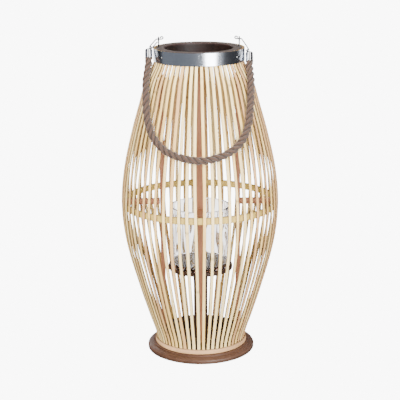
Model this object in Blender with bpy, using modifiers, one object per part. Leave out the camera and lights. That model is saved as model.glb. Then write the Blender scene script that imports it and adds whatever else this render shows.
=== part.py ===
"""Bamboo slat lantern for one candle, with a glass cylinder and a rope bail handle.

Metres, +Z up. The origin is the middle of the base's underside, the front faces -Y, and
azimuths start at the front and grow towards +X. Run it with
blender --background --python part.py, or from the text editor.
"""
import math

import bmesh
import bpy
from mathutils import Vector

# Driving dimensions
GAP = 0.0003                     # clearance between pieces that touch
COLLAR_TOP = 0.574               # height of the body, without the handle's hardware
BASE_RADIUS = 0.1013
BASE_HEIGHT = 0.0136
FACETS = 60                      # sides of the round frame pieces, one for each slat

# Slat cage: outer face of a slat as (height, radius), from the base to the collar
SLAT_PROFILE = (
    (0.0139, 0.0841), (0.0240, 0.0842), (0.0700, 0.0985), (0.1200, 0.1142),
    (0.2200, 0.1400), (0.2850, 0.1460), (0.3500, 0.1405), (0.4200, 0.1252), (0.4700, 0.1111),
    (0.5200, 0.0963), (0.5490, 0.0821), (0.5512, 0.0817), (0.5735, 0.0817),
)
SLAT_STATIONS = (
    0.0139, 0.0229, 0.0900, 0.1550, 0.2200, 0.2850, 0.3500,
    0.4150, 0.4750, 0.5250, 0.5490, 0.5512, 0.5735,
)
SLAT_WIDTH = 0.0056
SLAT_THICKNESS = 0.003
SLATS_PER_BUNDLE = 3
BUNDLES = 20
SLAT_STEP = 2 * math.pi / (SLATS_PER_BUNDLE * BUNDLES)
BACK_SHIFT = SLAT_STEP / 2       # assumed: puts the back slats opposite the front gaps

# Bottom ring, and the bamboo band that clamps the slats' feet against it
BOTTOM_RING_INNER = 0.0555
BOTTOM_RING_OUTER = 0.0807
BOTTOM_RING_TOP = 0.0311
LOWER_BAND_INNER = 0.0846
LOWER_BAND_OUTER = 0.0867
LOWER_BAND_TOP = 0.0229

# Top ring, and the metal collar that clamps the slats' heads against it
TOP_RING_INNER = 0.0625
TOP_RING_OUTER = 0.0782
TOP_RING_HEIGHT = 0.018
COLLAR_INNER = 0.0821
COLLAR_OUTER = 0.0829
COLLAR_HEIGHT = 0.023

# Posts between the two rings, with a spoke from each to the middle hoop
POST_RADIUS = 0.0705
POST_WIDTH = 0.0125
POST_DEPTH = 0.0085
HOOP_HEIGHT_CENTRE = 0.2865
HOOP_HEIGHT = 0.013
HOOP_OUTER = 0.1420
HOOP_THICKNESS = 0.003
SPOKE_HEIGHT = 0.010

# Candle platform on its column, and the glass on it
PLATFORM_RADIUS = 0.0604
PLATFORM_TOP = 0.1634
PLATFORM_HEIGHT = 0.0068
COLUMN_RADIUS = 0.013
GLASS_RADIUS = 0.0566
GLASS_HEIGHT = 0.115
GLASS_WALL = 0.0035
GLASS_FLOOR = 0.007

# Fasteners
SCREW_RADIUS = 0.002
SCREW_HEAD_RADIUS = 0.004
SCREW_RECESS = 0.0005
SCREW_CLEARANCE = 0.0003
NAIL_RADIUS = 0.0007
NAIL_HEAD_RADIUS = 0.0014
NAIL_LENGTH = 0.010
NAIL_AZIMUTH = math.radians(54)
CUTTER_TURN = math.radians(7)    # keeps a cutter's corners off the corners of what it cuts

# Handle: screw eyes, wire links, rope caps and the rope, swinging about the X axis
HINGE_HEIGHT = COLLAR_TOP + 0.015
HANDLE_TILT = math.radians(33)   # the hardware follows the rope, which lies on the front slats
EYE_X = 0.0728
EYE_RING_RADIUS = 0.0033
EYE_WIRE = 0.0013
EYE_SHANK_DEPTH = 0.015
LINK_WIRE = 0.0011
LINK_SPACING = 0.0050            # between the middles of the link's two legs
LINK_START_X = 0.0738            # the link points from here to the cap's top
LINK_BEND = 0.0040               # from the cap's top to the end of the link's half circle
LINK_CURL_RADIUS = 0.0024
LINK_CURL_X = 0.0672
LINK_CORNER = 0.0016
CAP_X = 0.0903
CAP_RADIUS = 0.0070
CAP_LENGTH = 0.0175
CAP_LOOP_RADIUS = 0.0034
CAP_LOOP_WIRE = 0.0011
ROPE_RADIUS = 0.0069
# Each side: its name and sign, the drop from the hinge axis to the cap's top, the link's free leg
HANDS = (("left", -1, 0.0208, 0.0150), ("right", 1, 0.0278, 0.0005))
ROPE_POINTS = 64
ROPE_ROUTE = (
    (-0.0924, -0.0353, 0.5350), (-0.0947, -0.0459, 0.5195), (-0.0947, -0.0567, 0.5050),
    (-0.0942, -0.0674, 0.4890), (-0.0934, -0.0766, 0.4720), (-0.0905, -0.0869, 0.4530),
    (-0.0831, -0.0998, 0.4330), (-0.0695, -0.1147, 0.4165), (-0.0514, -0.1267, 0.4055),
    (-0.0267, -0.1360, 0.3985), (0.0000, -0.1398, 0.3950), (0.0252, -0.1365, 0.3980),
    (0.0473, -0.1285, 0.4045), (0.0645, -0.1184, 0.4140), (0.0771, -0.1068, 0.4280),
    (0.0862, -0.0927, 0.4500), (0.0895, -0.0812, 0.4720), (0.0911, -0.0714, 0.4890),
    (0.0918, -0.0611, 0.5050), (0.0924, -0.0503, 0.5195), (0.0911, -0.0371, 0.5350),
)

COLOURS = {                      # base colour, roughness, metallic
    "bamboo": ((0.68, 0.50, 0.30), 0.6, 0.0),
    "bamboo_band": ((0.66, 0.46, 0.30), 0.6, 0.0),
    "stained_wood": ((0.36, 0.17, 0.10), 0.5, 0.0),
    "grey_wood": ((0.24, 0.18, 0.15), 0.6, 0.0),
    "steel": ((0.45, 0.47, 0.50), 0.2, 1.0),
    "chrome": ((0.75, 0.75, 0.76), 0.1, 1.0),
    "zinc": ((0.55, 0.55, 0.52), 0.4, 1.0),
    "glass": ((0.90, 0.94, 0.92), 0.05, 0.0),
    "rope": ((0.27, 0.20, 0.15), 0.9, 0.0),
}


def clear_scene():
    """Remove whatever the scene starts with."""
    for obj in list(bpy.data.objects):
        bpy.data.objects.remove(obj, do_unlink=True)


def make_collection(name):
    """A collection of its own under the scene."""
    collection = bpy.data.collections.new(name)
    bpy.context.scene.collection.children.link(collection)
    return collection


def make_material(name):
    """The Principled material of one of the lantern's substances."""
    if name in bpy.data.materials:
        return bpy.data.materials[name]
    colour, roughness, metallic = COLOURS[name]
    material = bpy.data.materials.new(name)
    material.use_nodes = True
    shader = material.node_tree.nodes["Principled BSDF"]
    shader.inputs["Base Color"].default_value = (*colour, 1.0)
    shader.inputs["Roughness"].default_value = roughness
    shader.inputs["Metallic"].default_value = metallic
    if name == "glass":
        shader.inputs["Transmission Weight"].default_value = 1.0
    return material


def add_object(name, data, substance, collection):
    """An object with its data, its own material slot and a place in a collection."""
    obj = bpy.data.objects.new(name, data)
    collection.objects.link(obj)
    if substance and not data.materials:
        data.materials.append(make_material(substance))
    return obj


def apply_modifiers(obj, sharp_angle=35):
    """Turn an object's evaluated shape into its mesh, smooth but for its sharp edges."""
    graph = bpy.context.evaluated_depsgraph_get()
    mesh = bpy.data.meshes.new_from_object(obj.evaluated_get(graph))
    obj.modifiers.clear()
    obj.data = mesh
    mesh.shade_smooth()
    mesh.set_sharp_from_angle(angle=math.radians(sharp_angle))


def turned(name, profile, substance, collection, facets=FACETS, closed=False):
    """Turn a profile of (radius, height) points about Z, listed down its outer side."""
    mesh = bpy.data.meshes.new(name)
    edges = [(i, i + 1) for i in range(len(profile) - 1)]
    if closed:
        edges.append((len(profile) - 1, 0))
    mesh.from_pydata([(radius, 0.0, height) for radius, height in profile], edges, [])
    obj = add_object(name, mesh, substance, collection)
    screw = obj.modifiers.new("Turn", "SCREW")
    screw.steps = facets
    screw.render_steps = facets
    screw.use_merge_vertices = True
    screw.merge_threshold = 0.00001
    apply_modifiers(obj)
    return obj


def ring_profile(inner, outer, bottom, top, chamfer):
    """The closed section of a flat ring with chamfered edges."""
    return (
        (inner + chamfer, top), (outer - chamfer, top), (outer, top - chamfer),
        (outer, bottom), (inner, bottom), (inner, top - chamfer),
    )


def band_profile(inner, outer, bottom, top):
    """The closed section of a plain band."""
    return ((inner, top), (outer, top), (outer, bottom), (inner, bottom))


def box(name, size, substance, collection, bevel=0.0):
    """A box centred on its origin, with its edges bevelled once its size is set."""
    mesh = bpy.data.meshes.new(name)
    bm = bmesh.new()
    bmesh.ops.create_cube(bm, size=1.0)
    bmesh.ops.scale(bm, vec=size, verts=bm.verts)
    bm.to_mesh(mesh)
    bm.free()
    obj = add_object(name, mesh, substance, collection)
    if bevel:
        modifier = obj.modifiers.new("Edges", "BEVEL")
        modifier.width = bevel
        modifier.segments = 1
        apply_modifiers(obj)
    return obj


def tube(name, points, radius, substance, collection, resolution=2):
    """A wire or rope: a poly spline through points, with a round section and filled ends."""
    curve = bpy.data.curves.new(name, "CURVE")
    curve.dimensions = "3D"
    curve.bevel_depth = radius
    curve.bevel_resolution = resolution
    curve.use_fill_caps = True
    spline = curve.splines.new("POLY")
    spline.points.add(len(points) - 1)
    for target, point in zip(spline.points, points):
        target.co = (*point, 1.0)
    return add_object(name, curve, substance, collection)


def torus(name, major, minor, substance, collection, major_segments=16, minor_segments=8):
    """A torus about its own Z axis: a circle of points turned with the Screw modifier."""
    section = []
    for i in range(minor_segments):
        angle = -2 * math.pi * i / minor_segments
        section.append((major + minor * math.cos(angle), minor * math.sin(angle)))
    return turned(name, section, substance, collection, facets=major_segments, closed=True)


def boolean(target, other, operation):
    """Cut a piece with a hidden shape, or join the two into one body."""
    modifier = target.modifiers.new(operation.title(), "BOOLEAN")
    modifier.operation = operation
    modifier.object = other
    modifier.solver = "EXACT"
    other.hide_render = True
    other.display_type = "WIRE"


def smooth_values(stations, knots):
    """Read a smooth curve of (position, value) knots at each station."""
    slopes = [(b[1] - a[1]) / (b[0] - a[0]) for a, b in zip(knots, knots[1:])]
    tangents = [slopes[0]] + [(a + b) / 2 for a, b in zip(slopes, slopes[1:])] + [slopes[-1]]
    values = []
    for station in stations:
        i = sum(1 for knot in knots[1:-1] if knot[0] <= station)
        (start, low), (end, high) = knots[i], knots[i + 1]
        span = end - start
        t = (station - start) / span
        values.append(
            low * (1 + 2 * t) * (1 - t) ** 2
            + tangents[i] * span * t * (1 - t) ** 2
            + high * t * t * (3 - 2 * t)
            + tangents[i + 1] * span * t * t * (t - 1)
        )
    return values


def smooth_path(points, count):
    """Even steps along a smooth curve through a list of points."""
    points = [Vector(point) for point in points]
    lengths = [0.0]
    for a, b in zip(points, points[1:]):
        lengths.append(lengths[-1] + (b - a).length)
    stations = [lengths[-1] * i / (count - 1) for i in range(count)]
    axes = [smooth_values(stations, [(s, p[k]) for s, p in zip(lengths, points)]) for k in range(3)]
    return [Vector(point) for point in zip(*axes)]


def screw_profile(length, flat):
    """Half section of a countersunk screw, head down, standing on the height of its head."""
    tip = 0.004
    return (
        (0.0, flat + length), (SCREW_RADIUS, flat + length - tip),
        (SCREW_RADIUS, flat + SCREW_HEAD_RADIUS - SCREW_RADIUS),
        (SCREW_HEAD_RADIUS, flat), (0.0, flat),
    )


def screw_hole(name, top, cutters):
    """Cutter of a countersunk clearance hole from the underside up to a height."""
    radius = SCREW_RADIUS + SCREW_CLEARANCE
    head = SCREW_HEAD_RADIUS + SCREW_CLEARANCE
    profile = (
        (0.0, top), (radius, top), (radius, head - radius + SCREW_RECESS),
        (head, SCREW_RECESS), (head, -0.002), (0.0, -0.002),
    )
    return turned(name, profile, None, cutters, facets=12)


def around(azimuth, radius, height=0.0):
    """The point at an azimuth, which starts at the front and grows towards +X."""
    return Vector((radius * math.sin(azimuth), -radius * math.cos(azimuth), height))


def settled(azimuth):
    """An even azimuth plus an assumed shift, nothing at the front and BACK_SHIFT at the back."""
    return azimuth + BACK_SHIFT * (1 - math.cos(azimuth)) / 2


def make_base(parts, cutters):
    """Base disc: a stepped top, a rounded rim and countersunk holes in the underside."""
    step = 0.0915
    rim = (BASE_HEIGHT - 0.0026, BASE_HEIGHT - 0.0036, BASE_HEIGHT - 0.0068)
    profile = (
        (0.0, BASE_HEIGHT), (step, BASE_HEIGHT), (step, rim[0]), (step + 0.0045, rim[1]),
        (BASE_RADIUS, rim[2]), (BASE_RADIUS, 0.0015), (BASE_RADIUS - 0.0015, 0.0), (0.0, 0.0),
    )
    disc = turned("base_disc", profile, "stained_wood", parts)
    ring = turned(
        "bottom_ring",
        ring_profile(
            BOTTOM_RING_INNER, BOTTOM_RING_OUTER, BASE_HEIGHT + GAP, BOTTOM_RING_TOP, 0.001
        ),
        "stained_wood", parts, closed=True,
    )
    ring_hole = screw_hole("cut_base_screw", BOTTOM_RING_TOP + 0.016, cutters)
    for i, side in enumerate(("front", "right", "back", "left")):
        azimuth = i * math.pi / 2
        hole = ring_hole.copy()
        cutters.objects.link(hole)
        hole.location = around(azimuth, POST_RADIUS)
        hole.rotation_euler.z = CUTTER_TURN
        boolean(disc, hole, "DIFFERENCE")
        boolean(ring, hole, "DIFFERENCE")
        screw = turned(
            "base_screw_" + side, screw_profile(0.043, SCREW_RECESS), "zinc", parts, facets=10
        )
        screw.location = hole.location
    bpy.data.objects.remove(ring_hole)
    column_hole = screw_hole("cut_column_screw", BASE_HEIGHT + 0.005, cutters)
    boolean(disc, column_hole, "DIFFERENCE")
    turned("column_screw", screw_profile(0.040, SCREW_RECESS), "zinc", parts, facets=10)


def make_posts(parts, cutters):
    """Four posts between the rings, bored for the base screws, and their four spokes."""
    foot = BOTTOM_RING_TOP + GAP
    head = COLLAR_TOP - TOP_RING_HEIGHT - GAP
    post_face = POST_RADIUS + POST_DEPTH / 2
    hoop_face = HOOP_OUTER - HOOP_THICKNESS
    spoke_length = hoop_face * math.cos(math.pi / FACETS) - post_face - 2 * GAP
    for i, side in enumerate(("front", "right", "back", "left")):
        azimuth = i * math.pi / 2
        post = box(
            "post_" + side, (POST_WIDTH, POST_DEPTH, head - foot), "stained_wood", parts, 0.0008
        )
        post.location = around(azimuth, POST_RADIUS, (head + foot) / 2)
        post.rotation_euler.z = azimuth
        bore = turned(
            "cut_post_" + side,
            ((0.0, foot + 0.015), (SCREW_RADIUS + SCREW_CLEARANCE, foot + 0.014),
             (SCREW_RADIUS + SCREW_CLEARANCE, foot - 0.002), (0.0, foot - 0.002)),
            None, cutters, facets=10,
        )
        bore.location = around(azimuth, POST_RADIUS)
        bore.rotation_euler.z = CUTTER_TURN
        boolean(post, bore, "DIFFERENCE")
        spoke = box(
            "spoke_" + side, (POST_WIDTH, spoke_length, SPOKE_HEIGHT), "stained_wood", parts
        )
        spoke.location = around(
            azimuth, post_face + GAP + spoke_length / 2, HOOP_HEIGHT_CENTRE
        )
        spoke.rotation_euler.z = azimuth


def make_platform(parts, cutters):
    """Candle platform, the column that carries it and the screw between them."""
    bottom = PLATFORM_TOP - PLATFORM_HEIGHT
    disc = turned(
        "platform",
        ((0.0, PLATFORM_TOP), (PLATFORM_RADIUS - 0.001, PLATFORM_TOP),
         (PLATFORM_RADIUS, PLATFORM_TOP - 0.001), (PLATFORM_RADIUS, bottom), (0.0, bottom)),
        "stained_wood", parts, facets=48,
    )
    foot = BASE_HEIGHT + GAP
    head = bottom - GAP
    column = turned(
        "center_column",
        ((0.0, head), (COLUMN_RADIUS, head), (COLUMN_RADIUS, foot), (0.0, foot)),
        "stained_wood", parts, facets=24,
    )
    bore_radius = SCREW_RADIUS + SCREW_CLEARANCE
    lower_bore = turned(
        "cut_column_foot",
        ((0.0, foot + 0.031), (bore_radius, foot + 0.030), (bore_radius, foot - 0.002),
         (0.0, foot - 0.002)),
        None, cutters, facets=10,
    )
    upper_hole = screw_hole("cut_platform_screw", 0.038, cutters)
    upper_hole.rotation_euler.x = math.pi
    upper_hole.location.z = PLATFORM_TOP
    for cutter in (lower_bore, upper_hole):
        cutter.rotation_euler.z = CUTTER_TURN
    boolean(column, lower_bore, "DIFFERENCE")
    boolean(column, upper_hole, "DIFFERENCE")
    boolean(disc, upper_hole, "DIFFERENCE")
    screw = turned(
        "platform_screw", screw_profile(0.034, SCREW_RECESS), "zinc", parts, facets=10
    )
    screw.rotation_euler.x = math.pi
    screw.location.z = PLATFORM_TOP


def make_glass(parts):
    """Straight glass cylinder with a thick floor, standing free on the platform."""
    foot = PLATFORM_TOP + GAP
    rim = foot + GLASS_HEIGHT
    inner = GLASS_RADIUS - GLASS_WALL
    floor = foot + GLASS_FLOOR
    profile = (
        (0.0, floor), (inner - 0.003, floor), (inner, floor + 0.003), (inner, rim - 0.001),
        (inner + 0.001, rim), (GLASS_RADIUS - 0.001, rim), (GLASS_RADIUS, rim - 0.001),
        (GLASS_RADIUS, foot + 0.002), (GLASS_RADIUS - 0.002, foot), (0.0, foot),
    )
    turned("glass_cylinder", profile, "glass", parts, facets=48)


def make_bands(parts, cutters):
    """Top ring, metal collar with its nails, lower bamboo band and middle hoop."""
    ring_bottom = COLLAR_TOP - TOP_RING_HEIGHT
    ring = turned(
        "top_ring",
        ring_profile(TOP_RING_INNER, TOP_RING_OUTER, ring_bottom, COLLAR_TOP, 0.0012),
        "grey_wood", parts, closed=True,
    )
    collar_bottom = COLLAR_TOP - COLLAR_HEIGHT
    collar = turned(
        "collar_band", band_profile(COLLAR_INNER, COLLAR_OUTER, collar_bottom, COLLAR_TOP),
        "steel", parts, closed=True,
    )
    turned(
        "lower_band",
        band_profile(LOWER_BAND_INNER, LOWER_BAND_OUTER, BASE_HEIGHT + GAP, LOWER_BAND_TOP),
        "bamboo_band", parts, closed=True,
    )
    hoop_low = HOOP_HEIGHT_CENTRE - HOOP_HEIGHT / 2
    turned(
        "middle_hoop",
        band_profile(HOOP_OUTER - HOOP_THICKNESS, HOOP_OUTER, hoop_low, hoop_low + HOOP_HEIGHT),
        "bamboo_band", parts, closed=True,
    )
    for side in (-1, 1):
        bore = turned(
            f"cut_eye_{side}",
            ((0.0, 0.002), (EYE_WIRE + GAP, 0.002), (EYE_WIRE + GAP, -EYE_SHANK_DEPTH - 0.001),
             (0.0, -EYE_SHANK_DEPTH - 0.001)),
            None, cutters, facets=10,
        )
        bore.location = (side * EYE_X, 0.0, COLLAR_TOP)
        bore.rotation_euler.z = CUTTER_TURN
        boolean(ring, bore, "DIFFERENCE")
    make_collar_nails(ring, collar, parts, cutters)


def make_collar_nails(ring, collar, parts, cutters):
    """Four nails through the collar, between the slat bundles, into the top ring."""
    face = COLLAR_OUTER + GAP
    head = 0.0008
    profile = (
        (0.0, head), (NAIL_HEAD_RADIUS * 0.7, head * 0.8), (NAIL_HEAD_RADIUS, 0.0),
        (NAIL_RADIUS, 0.0), (NAIL_RADIUS, -NAIL_LENGTH + 0.001), (0.0, -NAIL_LENGTH),
    )
    clearance = NAIL_RADIUS + GAP
    hole_profile = (
        (0.0, 0.003), (clearance, 0.003), (clearance, -NAIL_LENGTH - 0.0005),
        (0.0, -NAIL_LENGTH - 0.0005),
    )
    azimuths = (NAIL_AZIMUTH, math.pi - NAIL_AZIMUTH, math.pi + NAIL_AZIMUTH, -NAIL_AZIMUTH)
    for number, azimuth in enumerate(map(settled, azimuths), start=1):
        nail = turned(f"collar_nail_{number}", profile, "zinc", parts, facets=8)
        hole = turned(f"cut_nail_{number}", hole_profile, None, cutters, facets=8)
        for obj in (nail, hole):
            obj.location = around(azimuth, face, COLLAR_TOP - COLLAR_HEIGHT / 2)
            obj.rotation_euler = (math.pi / 2, 0.0, azimuth)
        boolean(ring, hole, "DIFFERENCE")
        boolean(collar, hole, "DIFFERENCE")


def slat_bundle_mesh():
    """Three bent slats in a row, joined across both ends where the bands hide them.

    The outer faces start as a grid of columns slat, space, slat, space, slat. The spaces are
    deleted between the end rows, and the corners are moved onto the cage's profile.
    """
    columns = 2 * SLATS_PER_BUNDLE - 1
    rows = len(SLAT_STATIONS) - 1
    radii = smooth_values(SLAT_STATIONS, SLAT_PROFILE)
    bm = bmesh.new()
    bmesh.ops.create_grid(bm, x_segments=columns, y_segments=rows, size=0.5)
    open_faces = []
    for face in bm.faces:
        middle = face.calc_center_median()
        column = int((middle.x + 0.5) * columns)
        row = int((middle.y + 0.5) * rows)
        if column % 2 and 0 < row < rows - 1:
            open_faces.append(face)
    bmesh.ops.delete(bm, geom=open_faces, context="FACES")
    for vertex in bm.verts:
        edge = round((vertex.co.x + 0.5) * columns)
        row = round((vertex.co.y + 0.5) * rows)
        turn = (edge // 2 - SLATS_PER_BUNDLE // 2) * SLAT_STEP
        sideways = SLAT_WIDTH * (edge % 2 - 0.5)
        vertex.co = around(turn, radii[row], SLAT_STATIONS[row])
        vertex.co += around(turn + math.pi / 2, sideways)
    bmesh.ops.recalc_face_normals(bm, faces=bm.faces)
    first = min(bm.faces, key=lambda face: face.calc_center_median().y)
    if first.normal.y > 0:
        bmesh.ops.reverse_faces(bm, faces=bm.faces)
    mesh = bpy.data.meshes.new("slat_bundle")
    bm.to_mesh(mesh)
    bm.free()
    return mesh


def make_slats(parts):
    """Twenty bundles of slats around the cage, all sharing one mesh."""
    mesh = slat_bundle_mesh()
    for number in range(BUNDLES):
        bundle = add_object(f"slats_{number + 1:02d}", mesh, "bamboo", parts)
        bundle.rotation_euler.z = settled((number + 0.5) * SLATS_PER_BUNDLE * SLAT_STEP)
        shell = bundle.modifiers.new("Thickness", "SOLIDIFY")
        shell.thickness = SLAT_THICKNESS
        shell.offset = -1.0


def link_path(cap_drop, free_leg):
    """Route of a wire link in the XZ plane, from its curl, through the eye, round the cap's loop.

    Heights are relative to the hinge axis. The long leg and the free leg run side by side.
    """
    cap_top = Vector((CAP_X, 0.0, -cap_drop))
    down = (cap_top - Vector((LINK_START_X, 0.0, 0.0))).normalized()
    across = Vector((-down.z, 0.0, down.x))
    bend = cap_top - down * LINK_BEND
    half = LINK_SPACING / 2
    path = []
    for i in range(9):
        angle = math.radians(30 * i)
        path.append(Vector((
            LINK_CURL_X + LINK_CURL_RADIUS * math.cos(angle), 0.0,
            LINK_CURL_RADIUS + LINK_CURL_RADIUS * math.sin(angle),
        )))
    upper = bend + across * half
    corner = upper - down * (upper.z / down.z)
    level = Vector((1.0, 0.0, 0.0))
    path.append(Vector((LINK_CURL_X, 0.0, 0.0)))
    for i in range(5):
        t = i / 4
        path.append(corner - level * LINK_CORNER * (1 - t) ** 2 + down * LINK_CORNER * t * t)
    for i in range(7):
        angle = math.radians(90 - 30 * i)
        path.append(bend - down * half + across * half * math.sin(angle) + down * half * math.cos(angle))
    path.append(bend - across * half - down * (half + free_leg))
    return path


def make_eye(name, side, parts, cutters):
    """Screw eye: a ring across the hinge axis, on a shank down into the top ring."""
    ring = torus(name, EYE_RING_RADIUS, EYE_WIRE, "chrome", parts)
    for vertex in ring.data.vertices:
        vertex.co = (vertex.co.z, vertex.co.y, -vertex.co.x)
    ring.location = (side * EYE_X, 0.0, HINGE_HEIGHT)
    top = -EYE_RING_RADIUS
    bottom = COLLAR_TOP - EYE_SHANK_DEPTH - HINGE_HEIGHT
    shank = turned(
        "join_" + name,
        ((0.0, top), (EYE_WIRE, top), (EYE_WIRE, bottom + 0.003), (0.0, bottom)),
        None, cutters, facets=10,
    )
    shank.location = ring.location
    boolean(ring, shank, "UNION")


def make_cap(name, side, cap_drop, hinge, parts, cutters):
    """Rope cap: a round metal sleeve end with a wire loop leaning towards the eye."""
    top = -cap_drop
    bottom = top - CAP_LENGTH
    edge = 0.0008
    cap = turned(
        name,
        ((0.0, top), (CAP_RADIUS - edge, top), (CAP_RADIUS, top - edge),
         (CAP_RADIUS, bottom), (0.0, bottom)),
        "chrome", parts, facets=20,
    )
    for vertex in cap.data.vertices:
        vertex.co.x += CAP_X
    loop = torus("join_" + name, CAP_LOOP_RADIUS, CAP_LOOP_WIRE, None, cutters, 14, 8)
    lean = Vector((LINK_START_X - CAP_X, 0.0, cap_drop)).normalized()
    square = Vector((-lean.z, 0.0, lean.x))
    for vertex in loop.data.vertices:
        across = square * vertex.co.z
        along = lean * (vertex.co.x + CAP_LOOP_RADIUS)
        sideways = Vector((0.0, vertex.co.y, 0.0))
        vertex.co = Vector((CAP_X, 0.0, top)) + along + across + sideways
    boolean(cap, loop, "UNION")
    for obj in (cap, loop):
        turn_hardware(obj, side, hinge)


def turn_hardware(obj, side, hinge):
    """Hang a handle piece from the hinge, leaning forwards, on the left or the right."""
    obj.parent = hinge
    if side > 0:
        obj.rotation_euler = (-HANDLE_TILT, 0.0, 0.0)
    else:
        obj.rotation_euler = (HANDLE_TILT, 0.0, math.pi)


def rope_end(side, cap_drop):
    """Where the rope leaves a cap, and a point a little further down, in world axes."""
    drop = cap_drop + CAP_LENGTH + GAP
    ends = []
    for distance in (drop, drop + 0.008):
        ends.append(Vector((
            side * CAP_X,
            -distance * math.sin(HANDLE_TILT),
            HINGE_HEIGHT - distance * math.cos(HANDLE_TILT),
        )))
    return ends


def make_handle(parts, cutters):
    """Eyes on the frame, then links, caps and rope on the hinge axis through the eyes."""
    hinge = bpy.data.objects.new("handle_hinge", None)
    parts.objects.link(hinge)
    hinge.location = (0.0, 0.0, HINGE_HEIGHT)
    ends = []
    for word, side, cap_drop, free_leg in HANDS:
        make_eye("screw_eye_" + word, side, parts, cutters)
        make_cap("rope_cap_" + word, side, cap_drop, hinge, parts, cutters)
        path = link_path(cap_drop, free_leg)
        link = tube("link_" + word, path, LINK_WIRE, "chrome", parts)
        turn_hardware(link, side, hinge)
        ends.append(rope_end(side, cap_drop))
    route = ends[0] + [Vector(point) for point in ROPE_ROUTE] + ends[1][::-1]
    path = smooth_path(route, ROPE_POINTS)
    rope = tube("rope_handle", [point - hinge.location for point in path], ROPE_RADIUS, "rope", parts)
    rope.parent = hinge


def main():
    clear_scene()
    parts = make_collection("bamboo_candle_lantern")
    cutters = make_collection("cutters")
    make_base(parts, cutters)
    make_posts(parts, cutters)
    make_platform(parts, cutters)
    make_glass(parts)
    make_bands(parts, cutters)
    make_slats(parts)
    make_handle(parts, cutters)


main()
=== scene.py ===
"""Bamboo slat lantern with a glass cylinder and a rope bail: surfaces, finishes, light and camera.

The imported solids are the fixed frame. Each operator below makes one piece, or one group of like
pieces, round that frame. Metres, +Z up, the front faces -Y, and azimuths start at the front and
grow towards +X.
"""
import math

import bpy
import numpy as np
from bpy.props import FloatProperty, FloatVectorProperty, IntProperty, PointerProperty
from bpy.types import Operator, Panel, PropertyGroup
from mathutils import Matrix, Vector


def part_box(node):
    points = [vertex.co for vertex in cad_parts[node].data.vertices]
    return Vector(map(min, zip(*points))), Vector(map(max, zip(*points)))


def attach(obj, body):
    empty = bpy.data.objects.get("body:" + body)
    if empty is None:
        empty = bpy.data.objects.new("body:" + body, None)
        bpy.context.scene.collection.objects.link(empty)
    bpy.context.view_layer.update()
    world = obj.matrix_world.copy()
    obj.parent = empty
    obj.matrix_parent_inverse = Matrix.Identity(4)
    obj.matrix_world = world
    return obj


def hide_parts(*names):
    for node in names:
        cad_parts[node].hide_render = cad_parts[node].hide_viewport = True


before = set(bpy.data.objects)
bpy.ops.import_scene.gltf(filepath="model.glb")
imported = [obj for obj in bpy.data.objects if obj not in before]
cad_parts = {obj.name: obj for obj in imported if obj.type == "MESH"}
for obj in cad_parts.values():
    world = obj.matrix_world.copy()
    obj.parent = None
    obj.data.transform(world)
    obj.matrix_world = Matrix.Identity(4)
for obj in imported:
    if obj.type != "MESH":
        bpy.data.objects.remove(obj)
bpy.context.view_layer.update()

bl_info = {
    "name": "Bamboo Lantern Looks",
    "version": (1, 0, 0),
    "blender": (4, 5, 0),
    "location": "View3D > Sidebar > Lantern",
    "description": "Builds the fine surfaces and finishes of a bamboo slat lantern on its frame",
    "category": "Add Mesh",
}

SEED = 59                         # of the slats' small irregularities
BUNDLES = 20
SLATS_PER_BUNDLE = 3
SLAT_STEP = 2 * math.pi / (BUNDLES * SLATS_PER_BUNDLE)
BACK_SHIFT = SLAT_STEP / 2        # assumed: puts the back slats opposite the front gaps
ROUND_STEPS = 192                 # columns round a large turned piece
COLLAR_STEPS = 720
SLAT_SIDES = 16
ROPE_COLUMNS = 60
ROPE_TUCK = 0.002                 # how far the rope reaches into a cap
POST_BOW = 0.0003
SOLID_GAP = 0.0003                # kept between touching pieces
KNOT_PLACES = (0.7, 2.6, 4.9)     # azimuths of the knots on the band and the hoop
SIDES = ("front", "right", "back", "left")
# Each side: its sign, the drop from the hinge axis to the cap's top, the link's free leg
HANDS = ((-1, "left", 0.0208, 0.0150), (1, "right", 0.0278, 0.0005))

# Outer face of a slat as (height, radius), from the base to the collar
SLAT_PROFILE = np.array((
    (0.0139, 0.0841), (0.0240, 0.0842), (0.0700, 0.0985), (0.1200, 0.1142),
    (0.2200, 0.1400), (0.2850, 0.1460), (0.3500, 0.1405), (0.4200, 0.1252), (0.4700, 0.1111),
    (0.5200, 0.0963), (0.5490, 0.0821), (0.5512, 0.0817), (0.5735, 0.0817),
))

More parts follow.
